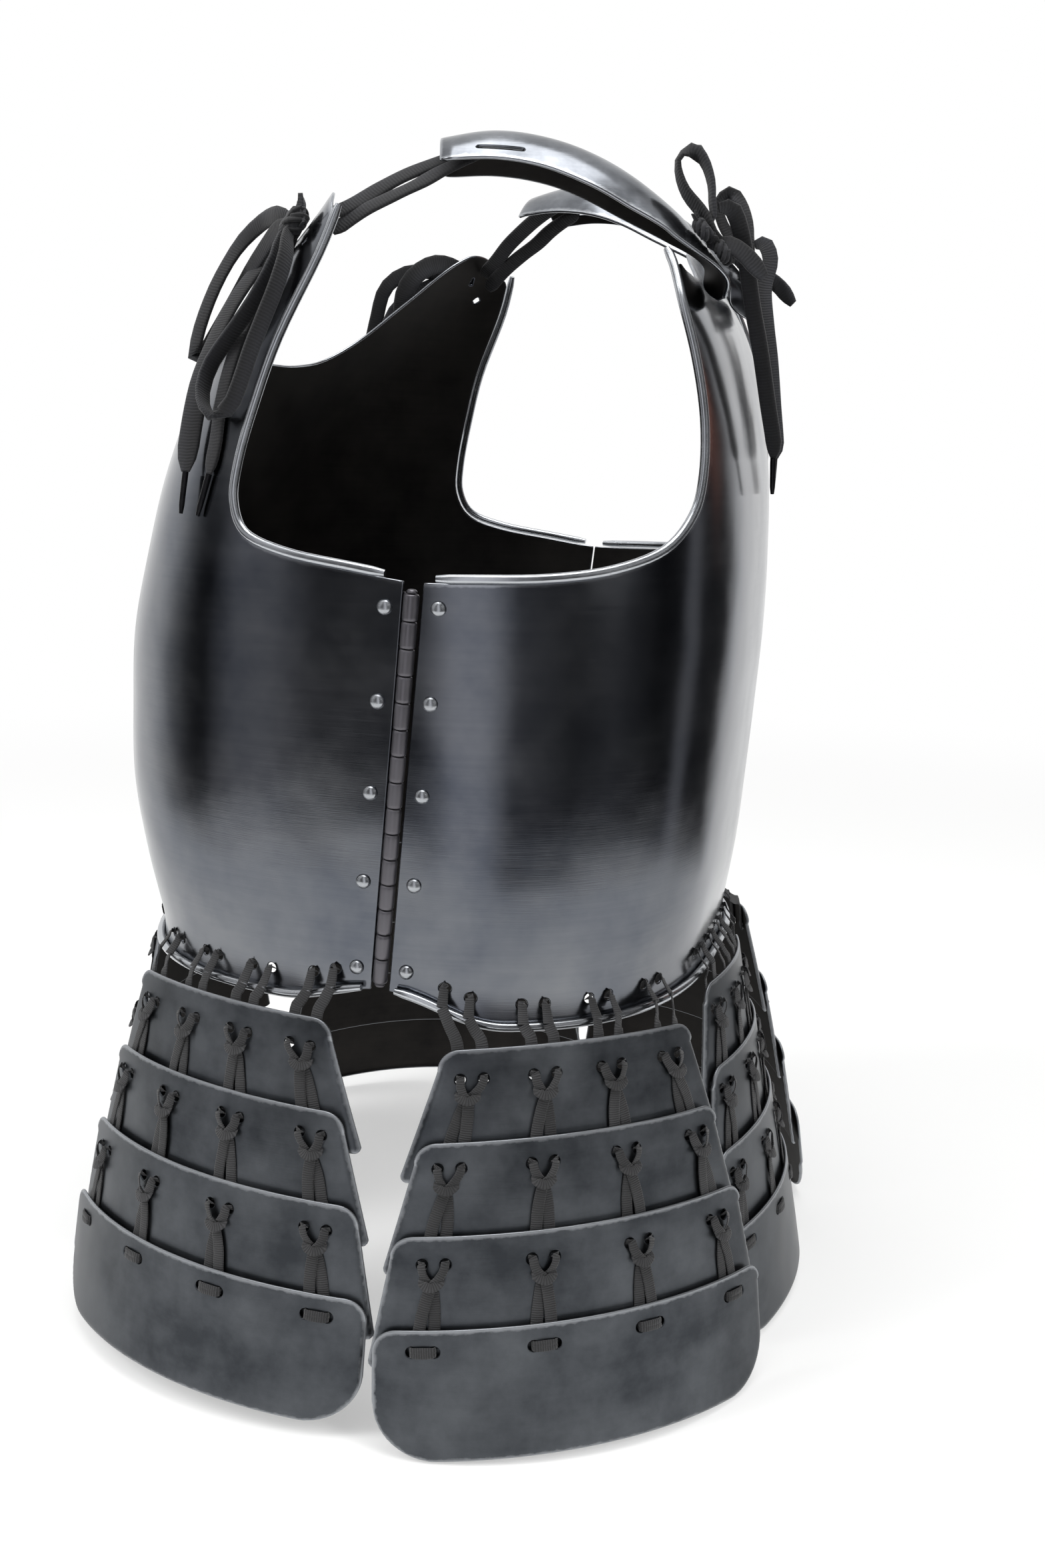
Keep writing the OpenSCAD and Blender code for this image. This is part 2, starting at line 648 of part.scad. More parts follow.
// Shoulder straps: the middle between the left one's edges, from its front end to its tip at the back,
// and how far the plate is arched above its edges there
strap_line = [[86, 12, 385], [79, 36, 386], [73, 58, 383], [68, 78, 376], [63, 98, 366], [59, 118, 356],
    [57, 136.5, 343.5], [54, 143.5, 328]];
strap_arch = [13, 16, 16.5, 16.5, 15, 10, 4, 2];
strap_sections = len(strap_line) - 1;
strap_rows = 24;
strap_columns = 10;
strap_spine = [for (i = [-1:strap_sections + 1])
    let (c = min(max(i, 0), strap_sections), d = c + (c == 0 ? 1 : -1))
    i == c ? concat(strap_line[c], strap_arch[c])
    : 2 * concat(strap_line[c], strap_arch[c]) - concat(strap_line[d], strap_arch[d])];
function spine_at(u) =
    let (k = min(max(u, 0), 1) * strap_sections, i = min(floor(k), strap_sections - 1))
    blend(strap_spine, i + 1, k - i);
function spine_point(u) = let (p = spine_at(u)) [p.x, p.y, p[2]];
// The front end has round corners and the back end narrows to a round tip
function strap_half(u) =
    strap_width / 2 * (u < 0.05 ? 0.8 + 0.2 * sqrt(1 - pow(1 - u / 0.05, 2))
    : u > 0.72 ? sqrt(1 - 0.96 * pow((u - 0.72) / 0.28, 2)) : 1);
// A point of a strap a share of the way along and across, -1 at the inner edge and 1 at the outer
function strap_run(u) = unit(spine_point(u + 0.01) - spine_point(u - 0.01));
function strap_across(u) = let (d = strap_run(u)) unit([d.y, -d.x, 0]);
function strap_up(u) = cross(strap_across(u), strap_run(u));
function strap_normal(u, s) =
    unit(strap_up(u) * strap_half(u) + strap_across(u) * 2 * spine_at(u)[3] * s);
function strap_point(u, s, out) =
    spine_point(u) + strap_across(u) * s * strap_half(u) + strap_up(u) * spine_at(u)[3] * (1 - s * s)
    + strap_normal(u, s) * out;
module strap_blank() {
    layers = [for (out = [strap_plate / 2, -strap_plate / 2]) [for (j = [0:strap_rows])
        [for (i = [0:strap_columns]) strap_point(j / strap_rows, 2 * i / strap_columns - 1, out)]]];
    plate_of(layers[0], layers[1]);
}
// Stands children on a strap, with z outwards and y towards its back end
module on_strap(u, s) {
    n = strap_normal(u, s);
    d = strap_run(u);
    x = unit(cross(d, n));
    y = cross(n, x);
    p = strap_point(u, s, 0);
    multmatrix([[x.x, y.x, n.x, p.x], [x.y, y.y, n.y, p.y], [x.z, y.z, n.z, p.z]]) children();
}
slot_along = 0.16;
slot_across = [0, 0.8];
module shoulder_strap() {
    color("#4a4d50")
        difference() {
            strap_blank();
            for (s = slot_across)
                on_strap(slot_along, s) cube([slot_width, slot_length, 12], center = true);
        }
}
module left_shoulder_strap() {
    in_frame() shoulder_strap();
}
module right_shoulder_strap() {
    in_frame() mirror([1, 0, 0]) shoulder_strap();
}

// Two strands run from under a strap's slots to the holes in the front tab
strand_routes = [
    [[80, 32, 396], [84, 20, 392], [90, 9, 387], [98, -2, 381], [104, -11, 375], [112, -20.6, 367.3],
        [118, -27.8, 362.5], [122, -31.6, 360.4]],
    [[92, 34, 390.2], [95, 25, 386.8], [99, 16, 382], [104, 7, 376], [109, -4, 370], [115, -15, 363.5],
        [119.5, -23, 357.5], [123.5, -29, 352.3]]];
// Ties over the back end of a strap: a loop that stands up and a short tail, and a long tail that hangs free
knot_radius = 5.5;
knot_height = 6;
knot_seat = 1.1;
back_knots = [[0.79, 0.35], [0.86, 0.35]];
back_loop = [[65, 139, 361], [64, 140, 365], [64, 139, 371], [63, 138, 380], [62, 134, 390], [62, 128, 395],
    [62, 122, 392], [62, 122, 385], [63, 126, 376], [64, 133, 368], [65, 137, 363]];
back_short_tail = [[65, 141.2, 350.6], [65, 145.5, 352], [65, 150, 351], [63, 157, 346], [61, 165, 337]];
back_long_tail = [[64.2, 142.3, 368.4], [60.5, 148, 368.4], [57, 152, 359], [52, 155, 344],
    [46, 158, 325], [40, 162, 305], [32, 166, 280], [26, 169, 262], [24, 169, 254]];
back_aglet = [[24, 169, 254], [20, 169, 236]];
aglet_width = 2.8;
module strap_ties() {
    for (r = strand_routes) cord_along(smooth_path(r, 2), [1, 0.4, 0.3], cord_width, cord_thick);
    cord_along(smooth_path(back_loop, 2), [1, 0.4, 0], cord_width, cord_thick);
    cord_along(back_short_tail, [1, 0, 0.4], cord_width, cord_thick);
    for (k = back_knots)
        on_strap(k[0], k[1])
            translate([0, 0, strap_plate / 2 + knot_seat])
                cylinder(r = knot_radius, h = knot_height, $fn = 24);
}
module left_strap_ties() {
    color("#1e1e20") in_frame() strap_ties();
}
module right_strap_ties() {
    color("#1e1e20") in_frame() mirror([1, 0, 0]) strap_ties();
}
module strap_tail() {
    cord_along(back_long_tail, [0.3, 1, 0.1], cord_width, cord_thick);
    cord_along(back_aglet, [1, 0, 0], aglet_width, aglet_width);
}
module left_strap_tail() {
    color("#1e1e20") in_frame() strap_tail();
}
module right_strap_tail() {
    color("#1e1e20") in_frame() mirror([1, 0, 0]) strap_tail();
}

// Bow on the outside of the front tab, as depth, height and distance out from the plate:
// a long loop, a flat folded loop and two tails with their tips
bow_long_loop = [[-45, 346, 8], [-45, 334, 8], [-52, 320, 8], [-60, 309, 8], [-69, 299, 8], [-77, 288, 8.5],
    [-79, 276, 9], [-74, 267, 9.5], [-67, 265, 9], [-60, 269, 8.5], [-56, 280, 8], [-52, 294, 8],
    [-47, 308, 8], [-42, 322, 8], [-39, 336, 8], [-41, 346, 8]];
bow_flat_loop = [[-49, 352, 15], [-60, 347, 20], [-72, 336, 22], [-82, 322, 19], [-91, 307, 15],
    [-98, 295, 11], [-100, 290, 8.5], [-98, 295, 6.5], [-92, 306, 6.5], [-84, 319, 7.5], [-74, 332, 10],
    [-62, 342, 11], [-52, 348, 11]];
bow_wide_tail = [[-48, 351, 6], [-59, 346, 5.5], [-68, 338, 5.5], [-75, 327, 5], [-81, 313, 4.5],
    [-85, 298, 4.5], [-87, 283, 4.5], [-88, 268, 4.5], [-88, 253, 4.5], [-88, 240, 4.5]];
bow_wide_aglet = [[-88, 240, 4.5], [-89, 221, 4.5]];
bow_slim_tail = [[-47, 347, 3.5], [-54, 336, 2.8], [-60, 325, 2.6], [-65, 312, 2.6], [-69, 298, 2.6],
    [-72, 282, 2.6], [-73, 268, 2.6], [-73, 255, 2.6], [-75, 240, 3]];
bow_slim_aglet = [[-75, 240, 3], [-81, 221, 3]];
bow_knot = [-42, 352];
// Cords that stand on edge have their wide side out from the plate, and flat ones have it along the plate
on_edge = [0.8, -0.45, 0.1];
lying_flat = [0.45, 0.9, 0];
module bow_cord(route, wide_axis, wide, thick) {
    cord_along([for (p = route) skin_at([p.x, p.y], p.z)], wide_axis, wide, thick);
}
module front_bow() {
    bow_cord(bow_long_loop, on_edge, cord_width, cord_thick);
    bow_cord(bow_flat_loop, lying_flat, cord_width, cord_thick);
    bow_cord(bow_wide_tail, lying_flat, cord_width, cord_thick);
    bow_cord(bow_slim_tail, lying_flat, cord_width, cord_thick);
    bow_cord(bow_wide_aglet, lying_flat, aglet_width, aglet_width);
    bow_cord(bow_slim_aglet, lying_flat, aglet_width, aglet_width);
    on_skin(bow_knot)
        translate([0, 0, shell_plate / 2 + clearance])
            cylinder(r = knot_radius + 1, h = 2 * knot_height, $fn = 24);
    for (p = tab_holes)
        on_skin(p) translate([0, 0, -shell_plate]) cylinder(r = tab_hole_radius - 0.4, h = 8, $fn = 24);
}
// The ties that close the right side: at each a knot across the seam and two tails
side_knots = [40, 150];
side_knot_height = 5;
side_tail_width = 5;
side_tail = [[0, 3, 0], [2, 8, -6], [3, 10, -24], [2, 10, -44], [1, 10, -66], [0, 10, -90]];
module side_ties() {
    mirror([1, 0, 0])
        for (z = side_knots)
            translate([half_width(z) + shell_plate / 2 + clearance, split_y(z), z]) {
                rotate([0, 90, 0]) cylinder(r = knot_radius, h = side_knot_height, $fn = 24);
                for (s = [-1, 1])
                    cord_along([for (p = side_tail) [p.x + side_knot_height / 2, s * p.y, p.z]],
                        [0, 1, 0], side_tail_width, cord_thick);
            }
}
module front_ties() {
    color("#1e1e20")
        in_frame() {
            front_bow();
            mirror([1, 0, 0]) front_bow();
            side_ties();
        }
}

front_shell();
front_shell_rims();
back_shell();
back_shell_rims();
hinge_front_leaf();
hinge_back_leaf();
hinge_pin();
front_hinge_rivets();
back_hinge_rivets();
left_shoulder_strap();
right_shoulder_strap();
left_strap_ties();
right_strap_ties();
left_strap_tail();
right_strap_tail();
front_ties();
front_hanger_laces();
back_hanger_laces();
for (t = [0:5], k = [0:3])
    tasset_lame(t, k);
for (t = [0:5], k = [0:2])
    tasset_laces(t, k);
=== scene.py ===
"""Looks of the samurai body armour: plates, rims, hinge, straps, tassets, laces and cords over its frame.

Sizes are millimetres in the armour's own coordinates, as in the part's source: z 0 is the waist rim, y 0 the
side line, the wearer faces -Y and the wearer's left is +X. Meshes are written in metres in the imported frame.
"""
import logging
import math
from dataclasses import dataclass, replace
from enum import Enum
from typing import Sequence

import bpy
import numpy as np
from mathutils import Matrix


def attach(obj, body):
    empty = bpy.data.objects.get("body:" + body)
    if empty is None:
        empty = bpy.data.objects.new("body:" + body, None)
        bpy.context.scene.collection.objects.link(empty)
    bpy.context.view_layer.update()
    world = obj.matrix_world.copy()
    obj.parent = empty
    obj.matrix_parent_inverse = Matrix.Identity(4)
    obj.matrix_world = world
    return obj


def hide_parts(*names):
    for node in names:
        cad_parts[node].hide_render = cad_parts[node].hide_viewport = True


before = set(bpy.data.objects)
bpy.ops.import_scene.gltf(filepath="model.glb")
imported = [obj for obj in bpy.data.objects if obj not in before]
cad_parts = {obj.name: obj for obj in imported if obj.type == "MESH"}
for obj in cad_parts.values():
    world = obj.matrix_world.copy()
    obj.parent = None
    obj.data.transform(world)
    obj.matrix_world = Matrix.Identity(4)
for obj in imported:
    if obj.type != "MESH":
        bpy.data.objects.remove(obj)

log = logging.getLogger("armour")

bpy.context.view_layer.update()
REST = np.array([0.0, 50.0, 392.0])
SEED = 7


def to_frame(points: np.ndarray) -> np.ndarray:
    """Armour coordinates in millimetres to frame coordinates in metres."""
    return (np.asarray(points, float) - REST) / 1000


def unit(v: np.ndarray) -> np.ndarray:
    """Vectors scaled to length 1 along the last axis."""
    return v / np.linalg.norm(v, axis=-1, keepdims=True)


def ramp(t: np.ndarray) -> np.ndarray:
    """A smooth step from 0 to 1 as t goes from 0 to 1."""
    c = np.clip(t, 0, 1)
    return c * c * (3 - 2 * c)


def spline(a: np.ndarray, b: np.ndarray, c: np.ndarray, d: np.ndarray, f: np.ndarray) -> np.ndarray:
    """The smooth curve through four values, at share f of the way from b to c."""
    return 0.5 * (2 * b + (c - a) * f + (2 * a - 5 * b + 4 * c - d) * f ** 2
                  + (3 * b - a - 3 * c + d) * f ** 3)


def smooth_path(points: Sequence[Sequence[float]], steps: int) -> np.ndarray:
    """A smooth curve through points.

    Args:
        points: The points that the curve passes through.
        steps: How many pieces the curve has between two points.

    Returns:
        The curve's points, one row each.
    """
    p = np.asarray(points, float)
    p = np.vstack([2 * p[0] - p[1], p, 2 * p[-1] - p[-2]])
    f = (np.arange(steps) / steps)[:, None]
    return np.vstack([spline(*p[i - 1:i + 3], f) for i in range(1, len(p) - 2)] + [p[-2]])


def even_path(points: Sequence[Sequence[float]], count: int) -> np.ndarray:
    """A smooth curve through points, cut into equal lengths.

    Args:
        points: The points that the curve passes through.
        count: How many points come back.

    Returns:
        The points, evenly spaced along the curve.
    """
    curve = smooth_path(points, 12)
    run = path_run(curve)
    at = np.linspace(0, run[-1], count)
    return np.stack([np.interp(at, run, curve[:, k]) for k in range(3)], axis=1)


def path_run(path: np.ndarray) -> np.ndarray:
    """The distance along a path of each of its points from the first."""
    return np.concatenate([[0], np.cumsum(np.linalg.norm(np.diff(path, axis=0), axis=1))])


def outline_distance(x: np.ndarray, y: np.ndarray, outline: np.ndarray, closed: bool = True) -> np.ndarray:
    """The distance of points to an outline, negative inside a closed one.

    Args:
        x: First coordinates.
        y: Second coordinates.
        outline: Corners of the outline.
        closed: Whether the last corner joins the first.

    Returns:
        The distances, in the outline's own unit.
    """
    a = np.asarray(outline, float)
    b = np.roll(a, -1, axis=0) if closed else a[1:]
    a = a if closed else a[:-1]
    best = np.full(x.shape, 1e9)
    inside = np.zeros(x.shape, bool)
    for (ax, ay), (bx, by) in zip(a, b):
        dx, dy = bx - ax, by - ay
        t = np.clip(((x - ax) * dx + (y - ay) * dy) / max(dx * dx + dy * dy, 1e-9), 0, 1)
        best = np.minimum(best, np.hypot(x - ax - t * dx, y - ay - t * dy))
        if closed and abs(dy) > 1e-9:
            cross = ((ay > y) != (by > y)) & (x < (y - ay) * dx / dy + ax)
            inside ^= cross
    return np.where(inside, -best, best)


@dataclass(frozen=True)
class CuirassForm:
    """The surface that the shells, rims, leaves and ties follow, as the part's source gives it."""

    section_step: float = 40
    waist_half_width: float = 165
    chest_half_width: float = 175
    waist_front: float = 157
    waist_back: float = 145
    belly_front: float = 175
    back_depth: float = 160
    flare_out: float = 2.5
    hem_height: float = 18
    flare_fade: float = 30
    leaf_width: float = 20
    split_low: float = 12
    split_lean: float = 19 / 195
    front_square: float = 2.4
    back_square: float = 2.8
    back_square_more: float = 1.2
    square_from: float = 200
    square_run: float = 140
    front_dip: float = 8
    front_dip_run: float = 48
    back_dip: float = 15
    back_dip_run: float = 62

    @property
    def half_widths(self) -> list[float]:
        """Half widths at the sections, which start one section step under the waist.

        Returns:
            The half widths.
        """
        grow = self.chest_half_width - self.waist_half_width
        return ([self.waist_half_width + grow * (i - 1) / 5 for i in range(7)]
                + [self.chest_half_width + d for d in (-3.5, -12, -22, -33, -45)])

    @property
    def front_depths(self) -> list[float]:
        """Depths in front of the side line at the sections."""
        return ([self.waist_front - 7, self.waist_front, (self.waist_front + self.belly_front) / 2 + 2]
                + [self.belly_front + d for d in (0, -1, -4.5, -15.5, -27.5, -45, -74, -116, -160)])

    @property
    def back_depths(self) -> list[float]:
        """Depths behind the side line at the sections."""
        return ([self.waist_back - 6, self.waist_back, self.waist_back + 6]
                + [self.back_depth + d for d in (-5.5, -2.5, 0, 0.5, -1.5, -8, -20, -44, -62)])

    def station(self, values: Sequence[float], z: np.ndarray) -> np.ndarray:
        """The value of a list of sections at height z.

        Args:
            values: The sections' values.
            z: Height above the waist.

        Returns:
            The value at the height.
        """
        v = np.asarray(values, float)
        u = np.maximum(np.asarray(z, float) / self.section_step + 1, 0.01)
        i = np.clip(np.floor(u).astype(int), 1, len(v) - 3)
        return spline(v[i - 1], v[i], v[i + 1], v[i + 2], u - i)

    def back_power(self, z: np.ndarray) -> np.ndarray:
        """How square the back's plan is at height z, as the power of its curve."""
        return self.back_square + self.back_square_more * ramp((z - self.square_from) / self.square_run)

    def skin(self, angle: np.ndarray, z: np.ndarray) -> np.ndarray:
        """A point of the surface.

        Args:
            angle: Degrees round the body, 0 at the front and 90 at the wearer's left.
            z: Height above the waist.

        Returns:
            The points, with the coordinates along the last axis.
        """
        angle, z = np.broadcast_arrays(np.asarray(angle, float), np.asarray(z, float))
        s, c = np.sin(np.radians(angle)), np.cos(np.radians(angle))
        square = np.where(c > 0, self.front_square, self.back_power(z))
        depth = np.where(c > 0, self.station(self.front_depths, z), self.station(self.back_depths, z))
        return np.stack([self.station(self.half_widths, z) * np.sign(s) * np.abs(s) ** (2 / square),
                         -depth * np.sign(c) * np.abs(c) ** (2 / square), z], axis=-1)

    def normal(self, angle: np.ndarray, z: np.ndarray) -> np.ndarray:
        """The outward normal of the surface at an angle and a height.

        Args:
            angle: Degrees round the body.
            z: Height above the waist.

        Returns:
            The unit normals.
        """
        angle, z = np.asarray(angle, float), np.asarray(z, float)
        return unit(np.cross(self.skin(angle + 0.4, z) - self.skin(angle - 0.4, z),
                             self.skin(angle, z + 0.5) - self.skin(angle, z - 0.5)))

    def plan_normal(self, angle: float, z: float) -> np.ndarray:
        """The level outward direction at an angle and a height."""
        d = self.skin(angle + 0.4, z) - self.skin(angle - 0.4, z)
        return unit(np.array([d[1], -d[0], 0]))

    def side_angle(self, y: np.ndarray, z: np.ndarray) -> np.ndarray:
        """The angle on the wearer's left at which the surface has depth y at height z.

        Args:
            y: Depth, negative in front of the side line.
            z: Height above the waist.

        Returns:
            The angles in degrees.
        """
        y, z = np.broadcast_arrays(np.asarray(y, float), np.asarray(z, float))
        front = np.clip(-y / self.station(self.front_depths, z), 0, 1) ** (self.front_square / 2)
        back = np.clip(y / self.station(self.back_depths, z), 0, 1) ** (self.back_power(z) / 2)
        return np.where(y < 0, np.degrees(np.arccos(front)), 180 - np.degrees(np.arccos(back)))

    def side_point(self, y: float, z: float, out: float = 0) -> np.ndarray:
        """A point of the wearer's left side, given by depth and height, moved outwards by a distance."""
        a = self.side_angle(y, z)
        return self.skin(a, z) + self.normal(a, z) * out

    def split_y(self, z: np.ndarray) -> np.ndarray:
        """The depth of the line where the two shells meet."""
        return self.split_low + self.split_lean * np.asarray(z, float)

    def rim_z(self, y: np.ndarray) -> np.ndarray:
        """The height of the waist rim, which dips to the front and to the back.

        Args:
            y: Depth, negative in front of the side line.

        Returns:
            The rim's heights.
        """
        y = np.asarray(y, float)
        return np.where(y < self.split_low, -self.front_dip * ramp((self.split_low - y) / self.front_dip_run),
                        -self.back_dip * ramp((y - self.split_low) / self.back_dip_run))

    def hem_flare(self, h: np.ndarray, y: np.ndarray) -> np.ndarray:
        """How far the hem stands out at height h, which fades beside the hinge."""
        return (self.flare_out * np.maximum(0, 1 - np.asarray(h, float) / self.hem_height) ** 2
                * ramp((np.abs(np.asarray(y) - self.split_low) - self.leaf_width) / self.flare_fade))


FORM = CuirassForm()
ARM_OUTLINE = [
    (-9, 385), (-18, 366), (-27, 340), (-44, 303), (-54, 271), (-60, 246), (-61, 228), (-53, 213), (-31, 205),
    (0, 200), (30, 196), (60, 196), (90, 197), (115, 201), (134, 210), (144, 226), (147, 245), (146, 270),
    (141, 297), (134, 320), (126, 340), (116, 356)]
FRONT_NECK = [(0, 300), (30, 301), (56, 306), (76, 320), (87, 340), (95, 358), (104, 368), (114, 371),
              (126, 368), (140, 356)]
BACK_NECK = [(0, 357), (14, 355), (26, 350), (36, 342), (46, 339), (58, 340), (70, 345), (82, 350), (94, 348),
             (106, 337), (120, 316)]


class Finish(Enum):
    """The slots of a plate piece: its outer face with the edge, and its inner face."""

    OUTER = 0
    INNER = 1


@dataclass
class Sheet:
    """A plate between an outer and an inner face, cut where its field is below 0 and with rounded edges."""

    middle: np.ndarray
    field: np.ndarray
    thickness: float
    across: np.ndarray
    wear: np.ndarray | None = None
    bulge: float = 0.85
    ring: int = 4

    def normals(self) -> np.ndarray:
        """Outward normals of the middle surface, from the grid itself."""
        return unit(np.cross(np.gradient(self.middle, axis=1), np.gradient(self.middle, axis=0)))

    def make(self, name: str, finishes: Sequence[bpy.types.Material], turn: bool = False) -> bpy.types.Object:
        """Builds the piece.

        Args:
            name: The object's name.
            finishes: The materials of the outer and the inner face.
            turn: Whether the grid's own normals point inwards.

        Returns:
            The object, with its map "surface" in metres and its attribute "edge" in millimetres.
        """
        rows, cols = self.field.shape
        points = self.middle.reshape(-1, 3)
        normals = self.normals().reshape(-1, 3) * (-1 if turn else 1)
        maps = self.across.reshape(-1, 2)
        field = self.field.reshape(-1)
        wear = field if self.wear is None else self.wear.reshape(-1)
        extra_p, extra_n, extra_m, extra_w = [], [], [], []
        cuts: dict[tuple[int, int], int] = {}

        def cut(a: int, b: int) -> int:
            """The shared point where the field crosses 0 between two grid points.

            Args:
                a: One grid point.
                b: The other grid point.

            Returns:
                The point's number.
            """
            key = (min(a, b), max(a, b))
            if key not in cuts:
                t = field[a] / (field[a] - field[b])
                cuts[key] = len(points) + len(extra_p)
                extra_p.append(points[a] + (points[b] - points[a]) * t)
                extra_n.append(unit(normals[a] + (normals[b] - normals[a]) * t))
                extra_m.append(maps[a] + (maps[b] - maps[a]) * t)
                extra_w.append(wear[a] + (wear[b] - wear[a]) * t)
            return cuts[key]

        grid = np.arange(rows * cols).reshape(rows, cols)
        quads = np.stack([grid[:-1, :-1], grid[:-1, 1:], grid[1:, 1:], grid[1:, :-1]], -1).reshape(-1, 4)
        if turn:
            quads = quads[:, ::-1]
        live = (field[quads] > 0).sum(axis=1)
        faces = [tuple(q) for q in quads[live == 4]]
        for q in quads[(live > 0) & (live < 4)]:
            face = []
            for a, b in zip(q, np.roll(q, -1)):
                if field[a] > 0:
                    face.append(int(a))
                if (field[a] > 0) != (field[b] > 0):
                    face.append(cut(int(a), int(b)))
            if len(face) > 2:
                faces.append(tuple(face))
        points = np.vstack([points] + ([np.array(extra_p)] if extra_p else []))
        normals = np.vstack([normals] + ([np.array(extra_n)] if extra_n else []))
        maps = np.vstack([maps] + ([np.array(extra_m)] if extra_m else []))
        wear = np.concatenate([wear, extra_w])
        return self._close(name, finishes, points, normals, maps, wear, faces)

    def _close(self, name: str, finishes: Sequence[bpy.types.Material], points: np.ndarray,
               normals: np.ndarray, maps: np.ndarray, wear: np.ndarray,
               faces: list[tuple[int, ...]]) -> bpy.types.Object:
        """Adds the inner face and the rounded edge to the cut middle surface, and writes the mesh.

        Args:
            name: The object's name.
            finishes: The materials of the outer and the inner face.
            points: Points of the middle surface.
            normals: Their outward normals.
            maps: Their places on the sheet laid flat.
            wear: Their distances from the edge that wears bright.
            faces: Faces of the middle surface.

        Returns:
            The finished object.
        """
        used = np.unique(np.concatenate([np.array(f) for f in faces]))
        index = np.full(len(points), -1)
        index[used] = np.arange(len(used))
        faces = [tuple(int(index[i]) for i in f) for f in faces]
        points, normals, maps, wear = points[used], normals[used], maps[used], wear[used]
        count = len(points)
        half = self.thickness / 2
        once: dict[tuple[int, int], tuple[int, int]] = {}
        for f in faces:
            for a, b in zip(f, f[1:] + f[:1]):
                if (b, a) in once:
                    del once[(b, a)]
                else:
                    once[(a, b)] = (a, b)
        outward = np.zeros((count, 3))
        for a, b in once:
            d = np.cross(points[b] - points[a], normals[a] + normals[b])
            size = np.linalg.norm(d)
            if size > 1e-9:
                outward[a] += d / size
                outward[b] += d / size
        edge = sorted({i for e in once for i in e})
        slot = {v: k for k, v in enumerate(edge)}
        out = outward[edge]
        out = out / np.maximum(np.linalg.norm(out, axis=1, keepdims=True), 1e-9)
        ring_p, ring_n = [], []
        for j in range(1, self.ring):
            t = math.pi * j / self.ring
            ring_p.append(points[edge] + normals[edge] * half * math.cos(t)
                          + out * half * math.sin(t) * self.bulge)
            ring_n.append(unit(normals[edge] * math.cos(t) + out * math.sin(t)))
        all_points = np.vstack([points + normals * half, points - normals * half] + ring_p)
        all_normals = np.vstack([normals, -normals] + ring_n)
        all_maps = np.vstack([maps, maps] + [maps[edge]] * (self.ring - 1))
        all_wear = np.concatenate([wear, wear] + [wear[edge]] * (self.ring - 1))

        def ring_index(v: int, j: int) -> int:
            """The point of edge point v on ring j, 0 the outer face and the last one the inner face.

            Args:
                v: The edge point.
                j: The ring.

            Returns:
                The point's number.
            """
            if j == 0:
                return v
            if j == self.ring:
                return count + v
            return 2 * count + (j - 1) * len(edge) + slot[v]

        all_faces = faces + [tuple(count + i for i in reversed(f)) for f in faces]
        kinds = [Finish.OUTER.value] * len(faces) + [Finish.INNER.value] * len(faces)
        for a, b in once:
            for j in range(self.ring):
                all_faces.append((ring_index(b, j), ring_index(a, j), ring_index(a, j + 1),
                                  ring_index(b, j + 1)))
                kinds.append(Finish.OUTER.value)
        return new_piece(name, all_points, all_faces, finishes, kinds, all_maps, all_wear, all_normals)


def new_piece(name: str, points: np.ndarray, faces: Sequence[tuple[int, ...]],
              finishes: Sequence[bpy.types.Material], kinds: Sequence[int] | None = None,
              maps: np.ndarray | None = None, field: np.ndarray | None = None,
              normals: np.ndarray | None = None) -> bpy.types.Object:
    """A mesh object from points in armour millimetres.

    Args:
        name: The object's name.
        points: The points.
        faces: Point numbers of each face, counter-clockwise from outside.
        finishes: The materials.
        kinds: The material number of each face.
        maps: The place of each point on the sheet laid flat, in millimetres.
        field: The distance of each point from the sheet's edge, in millimetres.
        normals: The normal of each point.

    Returns:
        The object, linked to the scene.
    """
    mesh = bpy.data.meshes.new(name)
    mesh.from_pydata(to_frame(points).tolist(), [], faces)
    for finish in finishes:
        mesh.materials.append(finish)
    if kinds is not None:
        mesh.polygons.foreach_set("material_index", np.asarray(kinds, np.int32))
    if maps is not None:
        loops = np.empty(len(mesh.loops), np.int32)
        mesh.loops.foreach_get("vertex_index", loops)
        layer = mesh.uv_layers.new(name="surface")
        layer.data.foreach_set("uv", (maps[loops] / 1000).astype(np.float32).ravel())
    if field is not None:
        attribute = mesh.attributes.new("edge", "FLOAT", "POINT")
        attribute.data.foreach_set("value", np.clip(field, -1, 60).astype(np.float32))
    mesh.polygons.foreach_set("use_smooth", np.ones(len(faces), bool))
    if normals is not None:
        mesh.normals_split_custom_set_from_vertices(normals.tolist())
    mesh.update()
    return link(name, mesh)


def link(name: str, data: bpy.types.ID) -> bpy.types.Object:
    """Makes a new object in the scene.

    Args:
        name: Its name.
        data: Its mesh, camera or lamp.

    Returns:
        The object.
    """
    thing = bpy.data.objects.new(name, data)
    bpy.context.scene.collection.objects.link(thing)
    return thing


def settle(piece: bpy.types.Object, body: str, node: str = "") -> None:
    """Puts a piece on its body and hides the node that it replaces, if any.

    Args:
        piece: The piece.
        body: The body that it rides on.
        node: The node that it replaces, if any.
    """
    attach(piece, body)
    if node:
        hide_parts(node)


